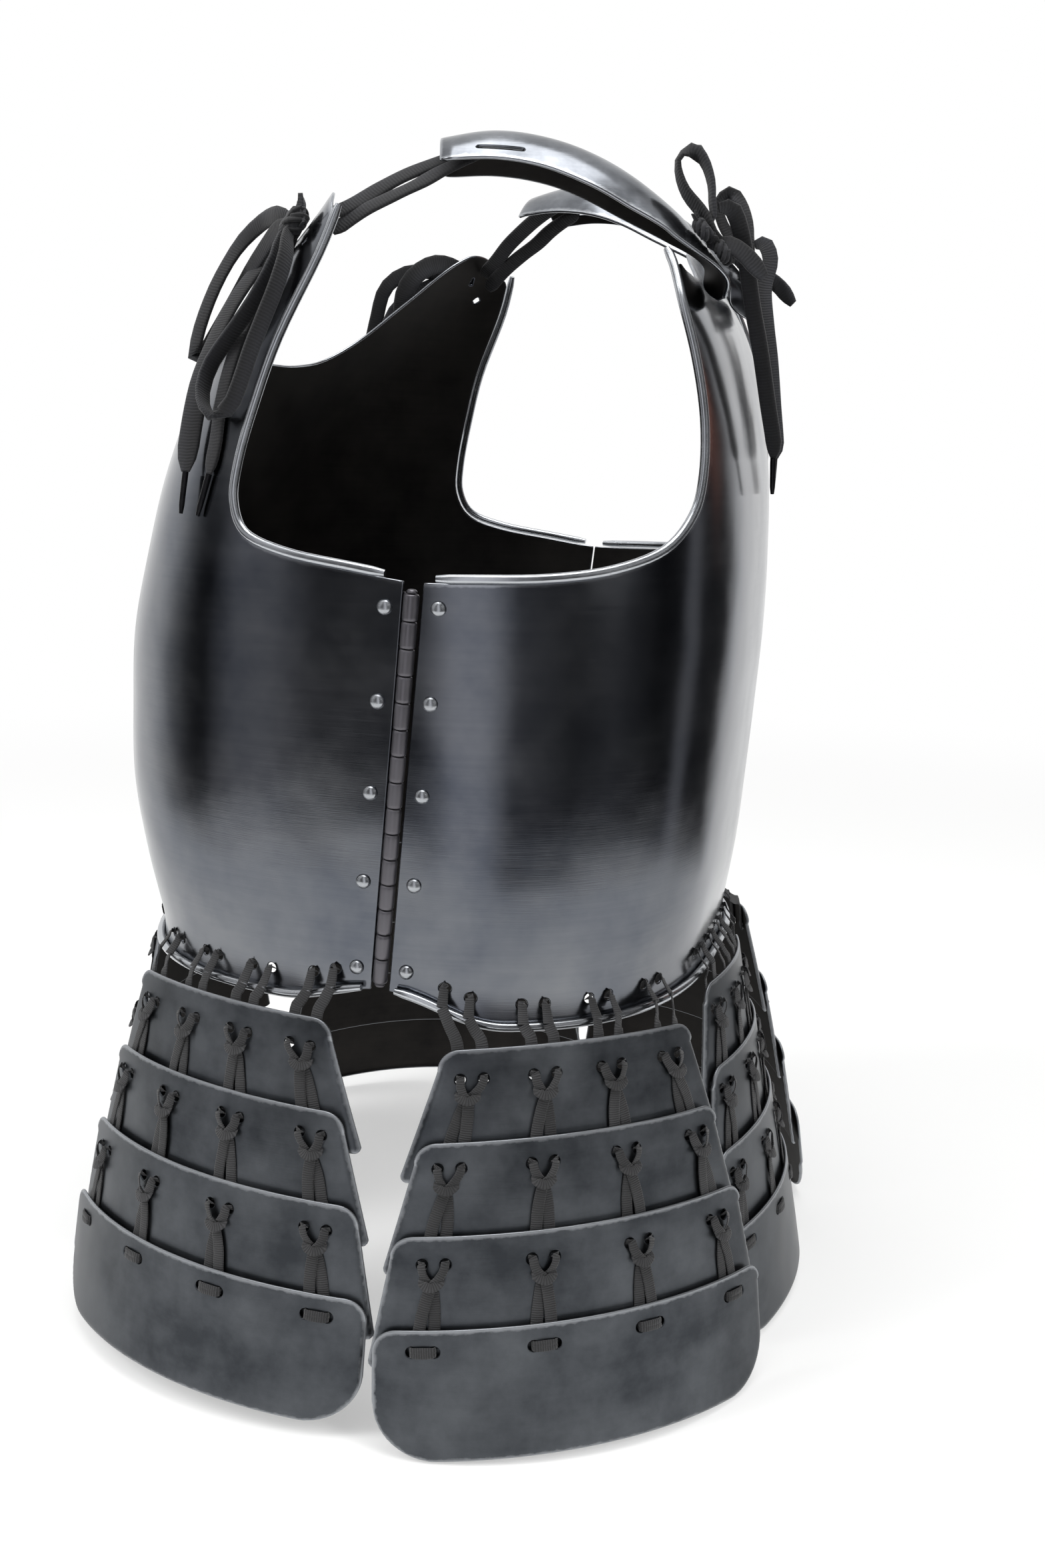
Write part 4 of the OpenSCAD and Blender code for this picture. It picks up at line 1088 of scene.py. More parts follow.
@dataclass
class Hinge:
    """The side hinge: knuckles on a pin, two leaves inside the shells and their rivets."""

    knuckle_radius: float = 3.6
    margin: float = 4.1
    count: int = 15
    leaf_plate: float = 1.2
    leaf_depth: float = 2.6
    leaf_run: tuple[float, float] = (4.4, 19.5)
    leaf_map: tuple[float, float] = (15, 188)
    leaf_rows: int = 61
    leaf_columns: int = 17
    rivet_distance: float = 12.5
    rivet_radius: float = 3.6
    rivet_hole: float = 1.7
    rivet_margin: float = 0.035
    top: float = 195
    pin: float = 3

    def __post_init__(self) -> None:
        """Works out the hinge's line."""
        self.low = np.array([float(FORM.station(FORM.half_widths, 0)), FORM.split_low, 0])
        z = self.top
        self.high = np.array([float(FORM.station(FORM.half_widths, z)), float(FORM.split_y(z)), z])
        self.direction = unit(self.high - self.low)
        self.length = float(np.linalg.norm(self.high - self.low)) - 2 * self.margin
        self.out = self.knuckle_radius - self.leaf_depth

    def height(self, share: float) -> float:
        """The height at a share of the hinge's length."""
        return (self.margin + self.length * share) * self.direction[2]

    def line(self, run: float) -> np.ndarray:
        """A point of the pin's middle line at a distance from the hinge's lower end."""
        side = unit(np.cross([0, 1, 0], self.direction))
        return self.low + side * self.out + self.direction * (self.margin + run)

    def rivet_places(self, side: int) -> list[tuple[np.ndarray, np.ndarray]]:
        """Places and normals of a leaf's rivets, side -1 in front of the hinge and 1 behind it.

        Args:
            side: -1 for the front leaf and 1 for the back leaf.

        Returns:
            For each rivet its place and its direction.
        """
        rows = []
        for i in range(5):
            z = self.height(self.rivet_margin + (1 - 2 * self.rivet_margin) * i / 4)
            y = float(FORM.split_y(z)) + side * self.rivet_distance
            rows.append((FORM.side_point(y, z), FORM.normal(FORM.side_angle(y, z), z)))
        return rows

    def build_leaf(self, side: int, finishes: Finishes) -> None:
        """Builds a leaf's sheet and its knuckles.

        Args:
            side: -1 for the front leaf and 1 for the back leaf.
            finishes: The armour's materials.
        """
        name = "front" if side < 0 else "back"
        share = np.linspace(0, 1, self.leaf_columns)[None, :]
        rows = np.linspace(0, 1, self.leaf_rows)[:, None]
        near, far = self.leaf_run
        z = self.height(rows)
        y = FORM.split_y(z) + side * (near + (far - near) * share)
        a = FORM.side_angle(y, z)
        middle = FORM.skin(a, z) + FORM.normal(a, z) * (self.leaf_plate / 2 - self.leaf_depth)
        width, height = self.leaf_map
        field = np.broadcast_to(np.minimum(share, 1 - share) * width, a.shape)
        for place, normal in self.rivet_places(side):
            away = middle - place
            across = np.linalg.norm(away - (away @ normal)[..., None] * normal, axis=-1)
            field = np.minimum(field, across - self.rivet_hole)
        maps = np.stack(np.broadcast_arrays(share * width, rows * height), -1)
        field[field <= 0] = np.where(field[field <= 0] > -1e-6, 0.01, field[field <= 0])
        sheet = Sheet(middle, field, self.leaf_plate, maps, ring=3).make(
            f"hinge_{name}_leaf_sheet", [finishes.hinge, finishes.hinge], turn=side < 0)
        barrels, facings, sizes = [], [], []
        step = self.length / self.count
        for i in range(0 if side < 0 else 1, self.count, 2):
            ends = [0.2, 0.5, 1.1, 2.2, step / 2, step - 2.2, step - 1.1, step - 0.5, step - 0.2]
            barrels.append(np.array([self.line(i * step + e) for e in ends]))
            facings.append(np.array([0, 1.0, 0]))
            sizes.append(np.array([0.8, 0.92, 0.985, 1, 1, 1, 0.985, 0.92, 0.8]))
        knuckles = Strip.make(f"hinge_{name}_knuckles", barrels, facings, 2 * self.knuckle_radius,
                              2 * self.knuckle_radius, finishes.hinge, sizes, 24, round_section=True)
        for piece in (sheet, knuckles):
            settle(piece, name, f"hinge_{name}_leaf")
        log.info("hinge %s leaf with %d knuckles", name, len(barrels))

    def build_pin(self, finishes: Finishes) -> None:
        """Builds the pin with its upset heads.

        Args:
            finishes: The armour's materials.
        """
        head = [(2.0, 0.6), (1.7, 1.3), (1.0, 1.7), (0.5, 1.6), (0, 1)]
        ends, sizes = [end for end, _ in head], [size for _, size in head]
        path = np.array([self.line(-end) for end in ends]
                        + [self.line(self.length + end) for end in ends[::-1]])
        pin = Strip.make("hinge_pin_bar", [path], [np.array([0, 1.0, 0])], self.pin, self.pin, finishes.hinge,
                         [np.array(sizes + sizes[::-1])], 20, round_section=True)
        settle(pin, "back", "hinge_pin")

    def build_rivets(self, side: int, finishes: Finishes) -> None:
        """Builds a leaf's rivets: domed heads outside, shanks through the holes and flat heads inside.

        Args:
            side: -1 for the front leaf and 1 for the back leaf.
            finishes: The armour's materials.
        """
        dome = [(-3.9, 0.6), (-3.6, 2.6), (-2.9, 2.8), (-2.7, 1.5), (0.6, 1.5), (0.95, 3.2), (1.2, 3.6),
                (1.7, 3.45), (2.4, 2.9), (2.95, 2.0), (3.2, 1.0), (3.25, 0.25)]
        paths = [np.array([p + n * h for h, _ in dome]) for p, n in self.rivet_places(side)]
        sizes = [np.array([r / self.rivet_radius for _, r in dome])] * len(paths)
        name = "front" if side < 0 else "back"
        piece = Strip.make(f"{name}_domed_rivets", paths, [np.array([0, 0, 1.0])] * len(paths),
                           2 * self.rivet_radius, 2 * self.rivet_radius, finishes.rivet, sizes, 24,
                           round_section=True)
        settle(piece, name, f"{name}_hinge_rivets")
        log.info("%d %s rivets", len(paths), name)

    def build(self, finishes: Finishes) -> None:
        """Builds the whole hinge.

        Args:
            finishes: The armour's materials.
        """
        for side in (-1, 1):
            self.build_leaf(side, finishes)
            self.build_rivets(side, finishes)
        self.build_pin(finishes)


@dataclass
class Tasset:
    """One of the six tassets: four lames, the laces between them and those that hang it on its shell."""

    number: int
    lame_half_width: float = 65
    lame_height: float = 62
    lame_pitch: float = 42.5
    lame_plate: float = 1.6
    lame_step: float = 4
    lame_bend: float = 172
    tilt: float = 10
    first_drop: float = 17
    stand_off: float = 12
    hole_pair: float = 11
    column_pitch: float = 34
    hole_radius: float = 2.6
    lace_width: float = 6
    lace_thick: float = 0.85
    drops: tuple[float, ...] = (14, 12, 13, 10)
    side_places: tuple[float, float] = (-67, 99)
    back_share: float = 0.82
    above_rim: float = 12
    scan_reach: float = 42
    scan_points: int = 841
    column_spread: tuple[float, ...] = (0, 8.5, 15, 20)
    top_spread: tuple[float, ...] = (0, 13, 26, 36)
    low_spread: tuple[float, ...] = (19, 29, 38, 38)
    corners: tuple[float, float, float] = (10, 3, 26)
    corner_points: int = 13
    rows: int = 66
    columns: int = 150
    edge_roll: float = 0.6
    lip: tuple[float, float] = (1.7, 3.2)
    wave: tuple[float, float, float] = (0.25, 23, 17)
    band_points: int = 30
    turn_points: int = 14
    fixed_points: int = 12
    stitch: tuple[float, float] = (3.0, 1.3)

    def __post_init__(self) -> None:
        """Works out where the tasset hangs."""
        side, rear = (float(FORM.side_angle(y, 0)) for y in self.side_places)
        self.angle = (0, side, rear, 180, 360 - rear, 360 - side)[self.number]
        self.share = self.back_share if self.number == 3 else 1.0
        p = FORM.skin(self.angle, 0)
        self.origin = FORM.skin(self.angle, float(FORM.rim_z(p[1])) + self.above_rim)
        self.outward = FORM.plan_normal(self.angle, 0)
        self.along = np.array([-self.outward[1], self.outward[0], 0])
        scan = self.angle + np.linspace(-self.scan_reach, self.scan_reach, self.scan_points)
        self.scan = scan, (FORM.skin(scan, 0) - p) @ self.along

    def column_x(self, k: int, j: int) -> float:
        """Distance of lace column j from the middle on lame k."""
        return (j - 1.5) * self.share * (self.column_pitch + self.column_spread[k])

    def hanger_angle(self, x: float) -> float:
        """The angle at which the waist lies a distance to one side of the tasset's middle."""
        return float(np.interp(x, self.scan[1], self.scan[0]))

    def hanger(self, x: float) -> np.ndarray:
        """The hole in the shell at a distance from the tasset's middle."""
        a = self.hanger_angle(x)
        return FORM.skin(a, float(FORM.rim_z(FORM.skin(a, 0)[1])) + self.above_rim)

    def lame_radius(self, k: int) -> float:
        """Radius of lame k's middle surface."""
        return self.lame_bend + self.lame_step * k

    def lame_top(self, k: int) -> float:
        """Height of lame k's upper edge over the tasset's origin."""
        return -(self.first_drop + self.lame_pitch * k)

    def column_run(self, k: int, j: int) -> float:
        """Distance of lace column j from the middle, measured round lame k."""
        return math.asin(self.column_x(k, j) / self.lame_radius(k)) * self.lame_radius(k)

    def hanger_xs(self) -> list[float]:
        """Distances of the eight hanging strands from the tasset's middle."""
        return [self.column_x(0, j) + s * self.hole_pair / 2 for j in range(4) for s in (-1, 1)]

    def place(self, local: np.ndarray) -> np.ndarray:
        """Points of the tilted tasset, x along it, -y outwards and z up, to armour coordinates.

        Args:
            local: The points before the tilt.

        Returns:
            The points in armour coordinates.
        """
        p = np.asarray(local, float)
        t = math.radians(self.tilt)
        y = p[..., 1] * math.cos(t) + p[..., 2] * math.sin(t)
        z = p[..., 2] * math.cos(t) - p[..., 1] * math.sin(t)
        return (self.origin + p[..., :1] * self.along - y[..., None] * self.outward
                + z[..., None] * np.array([0, 0, 1.0]))

    def on_lame(self, k: int, run: np.ndarray, z: np.ndarray, out: np.ndarray) -> np.ndarray:
        """Points beside lame k's middle surface.

        Args:
            k: The lame, 0 to 3.
            run: Distance round the lame from its middle.
            z: Height over the tasset's origin, along the tasset.
            out: Distance outwards from the middle of the plate.

        Returns:
            The points in armour coordinates.
        """
        run, z, out = np.broadcast_arrays(np.asarray(run, float), z, out)
        r = self.lame_radius(k)
        a = run / r
        return self.place(np.stack([(r + out) * np.sin(a),
                                    self.lame_bend - self.stand_off - (r + out) * np.cos(a), z], -1))

    def lame_normal(self, k: int, run: np.ndarray) -> np.ndarray:
        """The outward normal of lame k at a distance round it."""
        return self.on_lame(k, run, 0.0, 1.0) - self.on_lame(k, run, 0.0, 0.0)

    def outline(self, k: int) -> np.ndarray:
        """Corners of a lame's outline: a trapezoid with round corners, the last lame's lower ones wide.

        Args:
            k: The lame, 0 to 3.

        Returns:
            The corners, x along the lame and z up.
        """
        a = self.share * (self.lame_half_width + self.top_spread[k])
        b = self.share * (self.lame_half_width + self.low_spread[k])
        top = self.lame_top(k)
        low = top - self.lame_height
        r, q = self.corners[0], self.corners[2 if k == 3 else 1]
        turn = np.radians(np.linspace(0, 90, self.corner_points))
        corners = ((a - r + 1, top - r, r), (-a + r - 1, top - r, r), (-b + q, low + q, q),
                   (b - q, low + q, q))
        return np.vstack([np.stack([x + radius * np.cos(turn + i * math.pi / 2),
                                    z + radius * np.sin(turn + i * math.pi / 2)], -1)
                          for i, (x, z, radius) in enumerate(corners)])

    def build_lame(self, k: int, finishes: Finishes) -> None:
        """Builds a lame: a bent plate whose sides, and the last one's lower edge too, are turned in a little.

        Args:
            k: The lame, 0 to 3.
            finishes: The armour's materials.
        """
        outline = self.outline(k)
        low, high = outline.min(axis=0) - 1, outline.max(axis=0) + 1
        r = self.lame_radius(k)
        x = np.linspace(low[0], high[0], self.columns)[None, :]
        z = np.linspace(low[1], high[1], self.rows)[:, None]
        x, z, run = np.broadcast_arrays(x, z, np.arcsin(x / r) * r)
        field = -outline_distance(x, z, outline)
        left = 2 * self.corner_points
        if k < 3:
            sides = np.minimum(outline_distance(x, z, outline[left - 1:left + 1], closed=False),
                               outline_distance(x, z, outline[[-1, 0]], closed=False))
        else:
            sides = outline_distance(x, z, np.vstack([outline[left:], outline[:1]]), closed=False)
        lip = self.lip[0] * np.clip(1 - sides / self.lip[1], 0, 1) ** 2
        deep, across, down = self.wave
        wave = deep * np.sin(x / across + self.number) * np.sin(z / down + k)
        middle = self.on_lame(k, run, z, wave - lip)
        wear = field - self.edge_roll
        for j in range(4):
            for s in (-1, 1):
                place = self.column_run(k, j) + s * self.hole_pair / 2
                away = np.hypot(run - place, z - self.lame_top(k) + self.drops[k])
                field = np.minimum(field, away - self.hole_radius)
        field = field - self.edge_roll
        field[field == 0] = 1e-6
        name = f"tasset_{self.number + 1}_lame_{k + 1}"
        piece = Sheet(middle, field, self.lame_plate, np.stack([run, z], -1), wear, ring=5).make(
            name + "_plate", [finishes.lame, finishes.inside])
        settle(piece, f"tasset_{self.number + 1}_plate_{k + 1}", name)

    def lace_bands(self, k: int) -> tuple[list[np.ndarray], list[np.ndarray], list[np.ndarray]]:
        """The lace bands that start at lame k's holes.

        Args:
            k: The lame, 0 to 2.

        Returns:
            Paths, facings and sizes: at each column two strands that come out of the holes, cross and run
            down behind the next lame, and a short turn of lace round the crossing.
        """
        rng = np.random.default_rng(SEED + 10 * self.number + k)
        paths, facings, sizes = [], [], []
        count = np.arange(self.band_points)
        run_down = self.lame_pitch + self.drops[k + 1] - self.drops[k] - 1
        for j in range(4):
            start = self.column_run(k, j)
            drift = math.asin(self.column_x(k + 1, j) / self.lame_radius(k + 1)) * self.lame_radius(k) - start
            hole = self.lame_top(k) - self.drops[k]
            over = rng.choice((-1, 1))
            slack = rng.uniform(-0.8, 0.8, 3)
            for s in (-1, 1):
                lift = 0.52 * s * over
                shape = [(5.5, -0.6, -1.0), (5.5, 0.9, 1.2), (5.6, 1.7, 2.4), (5.4, 0.2, 3.4),
                         (4.6, -3.0, 3.3), (2.6, -6.4, 3.0 + lift),
                         (0.6 + slack[0] * 0.4, -9.2, 2.5 + 1.2 * lift),
                         (-0.8 + slack[1] * 0.4, -12, 1.9 + 0.9 * lift), (-2.4, -20, 1.88 + 0.85 * lift),
                         (-3.2 + slack[2] * 0.3, -28, 1.88 + 0.85 * lift),
                         (-3.8, -run_down, 1.88 + 0.85 * lift)]
                rows = even_path([(s * a, b, c) for a, b, c in shape], self.band_points)
                at = start + rows[:, 0] + drift * np.clip(-rows[:, 1] / self.lame_pitch, 0, 1)
                paths.append(self.on_lame(k, at, hole + rows[:, 1], rows[:, 2]))
                turn = self.on_lame(k, at + 1, 0, 0) - self.on_lame(k, at, 0, 0)
                twist = np.interp(count, [0, 5, 8, 11, 29], [0, 0.5 * s, 0.7 * s, 0, 0])[:, None]
                facings.append(self.lame_normal(k, at) + turn * twist)
                sizes.append(np.interp(count, [0, 3, 9, 14, 29], [0.62, 0.7, 0.85, 0.95, 1.0]))
            bow = even_path([(-3.6, -6.4, 1.6), (-3.9, -7.8, 3.6), (0, -9.4, 5.0), (3.9, -7.8, 3.6),
                             (3.6, -6.4, 1.6)],
                            self.turn_points)
            at = start + bow[:, 0] + drift * 0.2
            paths.append(self.on_lame(k, at, hole + bow[:, 1], bow[:, 2]))
            facings.append(self.lame_normal(k, at) + 0.25 * np.array([0, 0, 1.0]))
            sizes.append(np.full(self.turn_points, 0.72))
        return paths, facings, sizes

    def hanger_bands(self, moving: bool) -> tuple[list[np.ndarray], list[np.ndarray], list[np.ndarray]]:
        """The eight hanging strands, from the shell's holes to the rim or from the rim to behind lame 1.

        Args:
            moving: Whether it is the part below the rim, which swings with lame 1.

        Returns:
            Paths, facings and sizes.
        """
        rng = np.random.default_rng(SEED + self.number)
        paths, facings, sizes = [], [], []
        for x in self.hanger_xs():
            a = self.hanger_angle(x)
            normal = FORM.plan_normal(a, 0)
            hole = self.hanger(x)
            flare = float(FORM.hem_flare(self.above_rim, hole[1]))
            up = np.array([0, 0, 1.0])
            bend = hole + normal * (6.6 + float(FORM.hem_flare(0, hole[1]))) - up * 7.6
            twist = rng.uniform(-0.5, 0.5)
            side = np.cross(up, normal)
            if moving:
                r = self.lame_bend - self.lame_plate / 2 - 0.8
                behind = [self.place(np.array([x, self.lame_bend - self.stand_off - math.sqrt(r * r - x * x),
                                               -d]))
                          for d in (self.first_drop - 2, self.first_drop + self.drops[0] + 1)]
                rows = [bend, bend * 0.5 + behind[0] * 0.5, behind[0], behind[1]]
                count, ends, at, size = self.turn_points, (0.4, 0), [0, 6, 13], [0.9, 1.0, 1.0]
            else:
                rows = [hole - normal * 1.0 - up * 0.5, hole + normal * (1.2 + flare) + up * 0.8,
                        hole + normal * (2.9 + flare) + up * 1.2, hole + normal * (4.0 + flare) - up * 1.4,
                        bend + up * 0.4]
                count, ends, at, size = self.fixed_points, (1, 0.4), [0, 4, 11], [0.6, 0.72, 0.9]
            paths.append(even_path(rows, count))
            facings.append(normal + side * twist * np.linspace(*ends, count)[:, None])
            sizes.append(np.interp(np.arange(count), at, size))
        return paths, facings, sizes

    def build_laces(self, finishes: Finishes) -> None:
        """Builds the laces between the lames and the stitches of the last one.

        Args:
            finishes: The armour's materials.
        """
        for k in range(3):
            paths, facings, sizes = self.lace_bands(k)
            if k == 0:
                more = self.hanger_bands(True)
                paths, facings, sizes = paths + more[0], facings + more[1], sizes + more[2]
            name = f"tasset_{self.number + 1}_laces_{k + 1}"
            piece = Strip.make(name + "_bands", paths, facings, self.lace_width, self.lace_thick,
                               finishes.lace, sizes, 10)
            settle(piece, f"tasset_{self.number + 1}_plate_{k + 1}", name)
        paths, facings = [], []
        z = self.lame_top(3) - self.drops[3]
        for j in range(4):
            start = self.column_run(3, j)
            for lift in (-0.9, 0.9):
                arch = even_path([(-5.7, lift, -1.0), (-5.4, lift, 0.9), (-3.4, lift * 1.2, 1.7),
                                  (0, lift * 1.3, 1.9), (3.4, lift * 1.2, 1.7), (5.4, lift, 0.9),
                                  (5.7, lift, -1.0)], 16)
                paths.append(self.on_lame(3, start + arch[:, 0], z + arch[:, 1], arch[:, 2]))
                facings.append(self.lame_normal(3, start + arch[:, 0]))
        piece = Strip.make(f"tasset_{self.number + 1}_stitches", paths, facings, *self.stitch, finishes.lace,
                           sides=8)
        settle(piece, f"tasset_{self.number + 1}_plate_4")

    def build(self, finishes: Finishes) -> None:
        """Builds the tasset's lames and laces.

        Args:
            finishes: The armour's materials.
        """
        for k in range(4):
            self.build_lame(k, finishes)
        self.build_laces(finishes)
        log.info("tasset %d", self.number + 1)


@dataclass
class Straps:
    """The two shoulder straps: arched plates with two slots near the front end and a narrow back end."""

    width: float = 47
    plate: float = 2
    slot_length: float = 23
    slot_width: float = 2.4
    line: tuple[tuple[float, float, float, float], ...] = (
        (86, 12, 385, 13), (79, 36, 386, 16), (73, 58, 383, 16.5), (68, 78, 376, 16.5), (63, 98, 366, 15),
        (59, 118, 356, 10), (57, 136.5, 343.5, 4), (54, 143.5, 328, 2))
    length: float = 190
    slot_place: float = 0.16
    slot_sides: tuple[float, float] = (0, 0.8)
    front_end: float = 0.05
    back_end: float = 0.72
    rows: int = 170
    columns: int = 71
    edge_roll: float = 0.6

    def spine(self, u: np.ndarray) -> np.ndarray:
        """The middle between the strap's edges and its arch, at shares of its length.

        Args:
            u: Shares of the length from the front end.

        Returns:
            For each share the three coordinates and the arch's height.
        """
        p = np.array(self.line, float)
        p = np.vstack([2 * p[0] - p[1], p, 2 * p[-1] - p[-2]])
        k = np.clip(np.asarray(u, float), 0, 1) * (len(self.line) - 1)
        i = np.minimum(np.floor(k).astype(int), len(self.line) - 2)
        f = (k - i)[..., None]
        return spline(p[i], p[i + 1], p[i + 2], p[i + 3], f)

    def half(self, u: np.ndarray) -> np.ndarray:
        """Half the strap's width at shares of its length.

        Args:
            u: Shares of the length from the front end.

        Returns:
            Half widths in millimetres.
        """
        front = 0.8 + 0.2 * np.sqrt(np.clip(1 - (1 - u / self.front_end) ** 2, 0, 1))
        back = np.sqrt(np.clip(1 - 0.96 * ((u - self.back_end) / (1 - self.back_end)) ** 2, 0, 1))
        return self.width / 2 * np.where(u < self.front_end, front, np.where(u > self.back_end, back, 1))

    def point(self, u: np.ndarray, s: np.ndarray) -> np.ndarray:
        """Points of the left strap's middle surface.

        Args:
            u: Shares of the length from the front end.
            s: Shares of the half width, -1 at the inner edge and 1 at the outer.

        Returns:
            The points.
        """
        u, s = np.broadcast_arrays(np.asarray(u, float), np.asarray(s, float))
        here = self.spine(u)
        run = unit(self.spine(u + 0.01)[..., :3] - self.spine(u - 0.01)[..., :3])
        across = unit(np.stack([run[..., 1], -run[..., 0], np.zeros_like(u)], -1))
        up = np.cross(across, run)
        return (here[..., :3] + across * (s * self.half(u))[..., None]
                + up * (here[..., 3] * (1 - s * s))[..., None])

    def build(self, finishes: Finishes) -> None:
        """Builds both straps.

        Args:
            finishes: The armour's materials.
        """
        u = np.linspace(0.004, 0.996, self.rows)[:, None]
        s = np.linspace(-1, 1, self.columns)[None, :] * (1 - 0.9 / np.maximum(self.half(u), 4))
        middle = self.point(u, s)
        field = np.minimum((1 - np.abs(s)) * self.half(u), np.minimum(u, 1 - u) * self.length)
        wear = field - self.edge_roll - 0.1
        for at in self.slot_sides:
            near, hole, far = self.point(self.slot_place + np.array([-0.01, 0, 0.01]), np.array(at))
            run = unit(far - near)
            away = middle - hole
            along = np.abs(away @ run)
            aside = np.sqrt(np.maximum((away ** 2).sum(-1) - along ** 2, 0))
            inside = np.hypot(np.maximum(along - self.slot_length / 2 + self.slot_width / 2, 0), aside)
            field = np.minimum(field, inside - self.slot_width / 2 - self.edge_roll)
        field[field == 0] = 1e-6
        maps = np.stack([s * self.half(u), np.broadcast_to(u * self.length, s.shape)], -1)
        for name, flip in (("left", 1), ("right", -1)):
            piece = Sheet(middle * (flip, 1, 1), field, self.plate, maps, wear, ring=5).make(
                f"{name}_strap_plate", [finishes.strap, finishes.inside], turn=flip < 0)
            settle(piece, f"{name}_strap", f"{name}_shoulder_strap")
        log.info("straps")


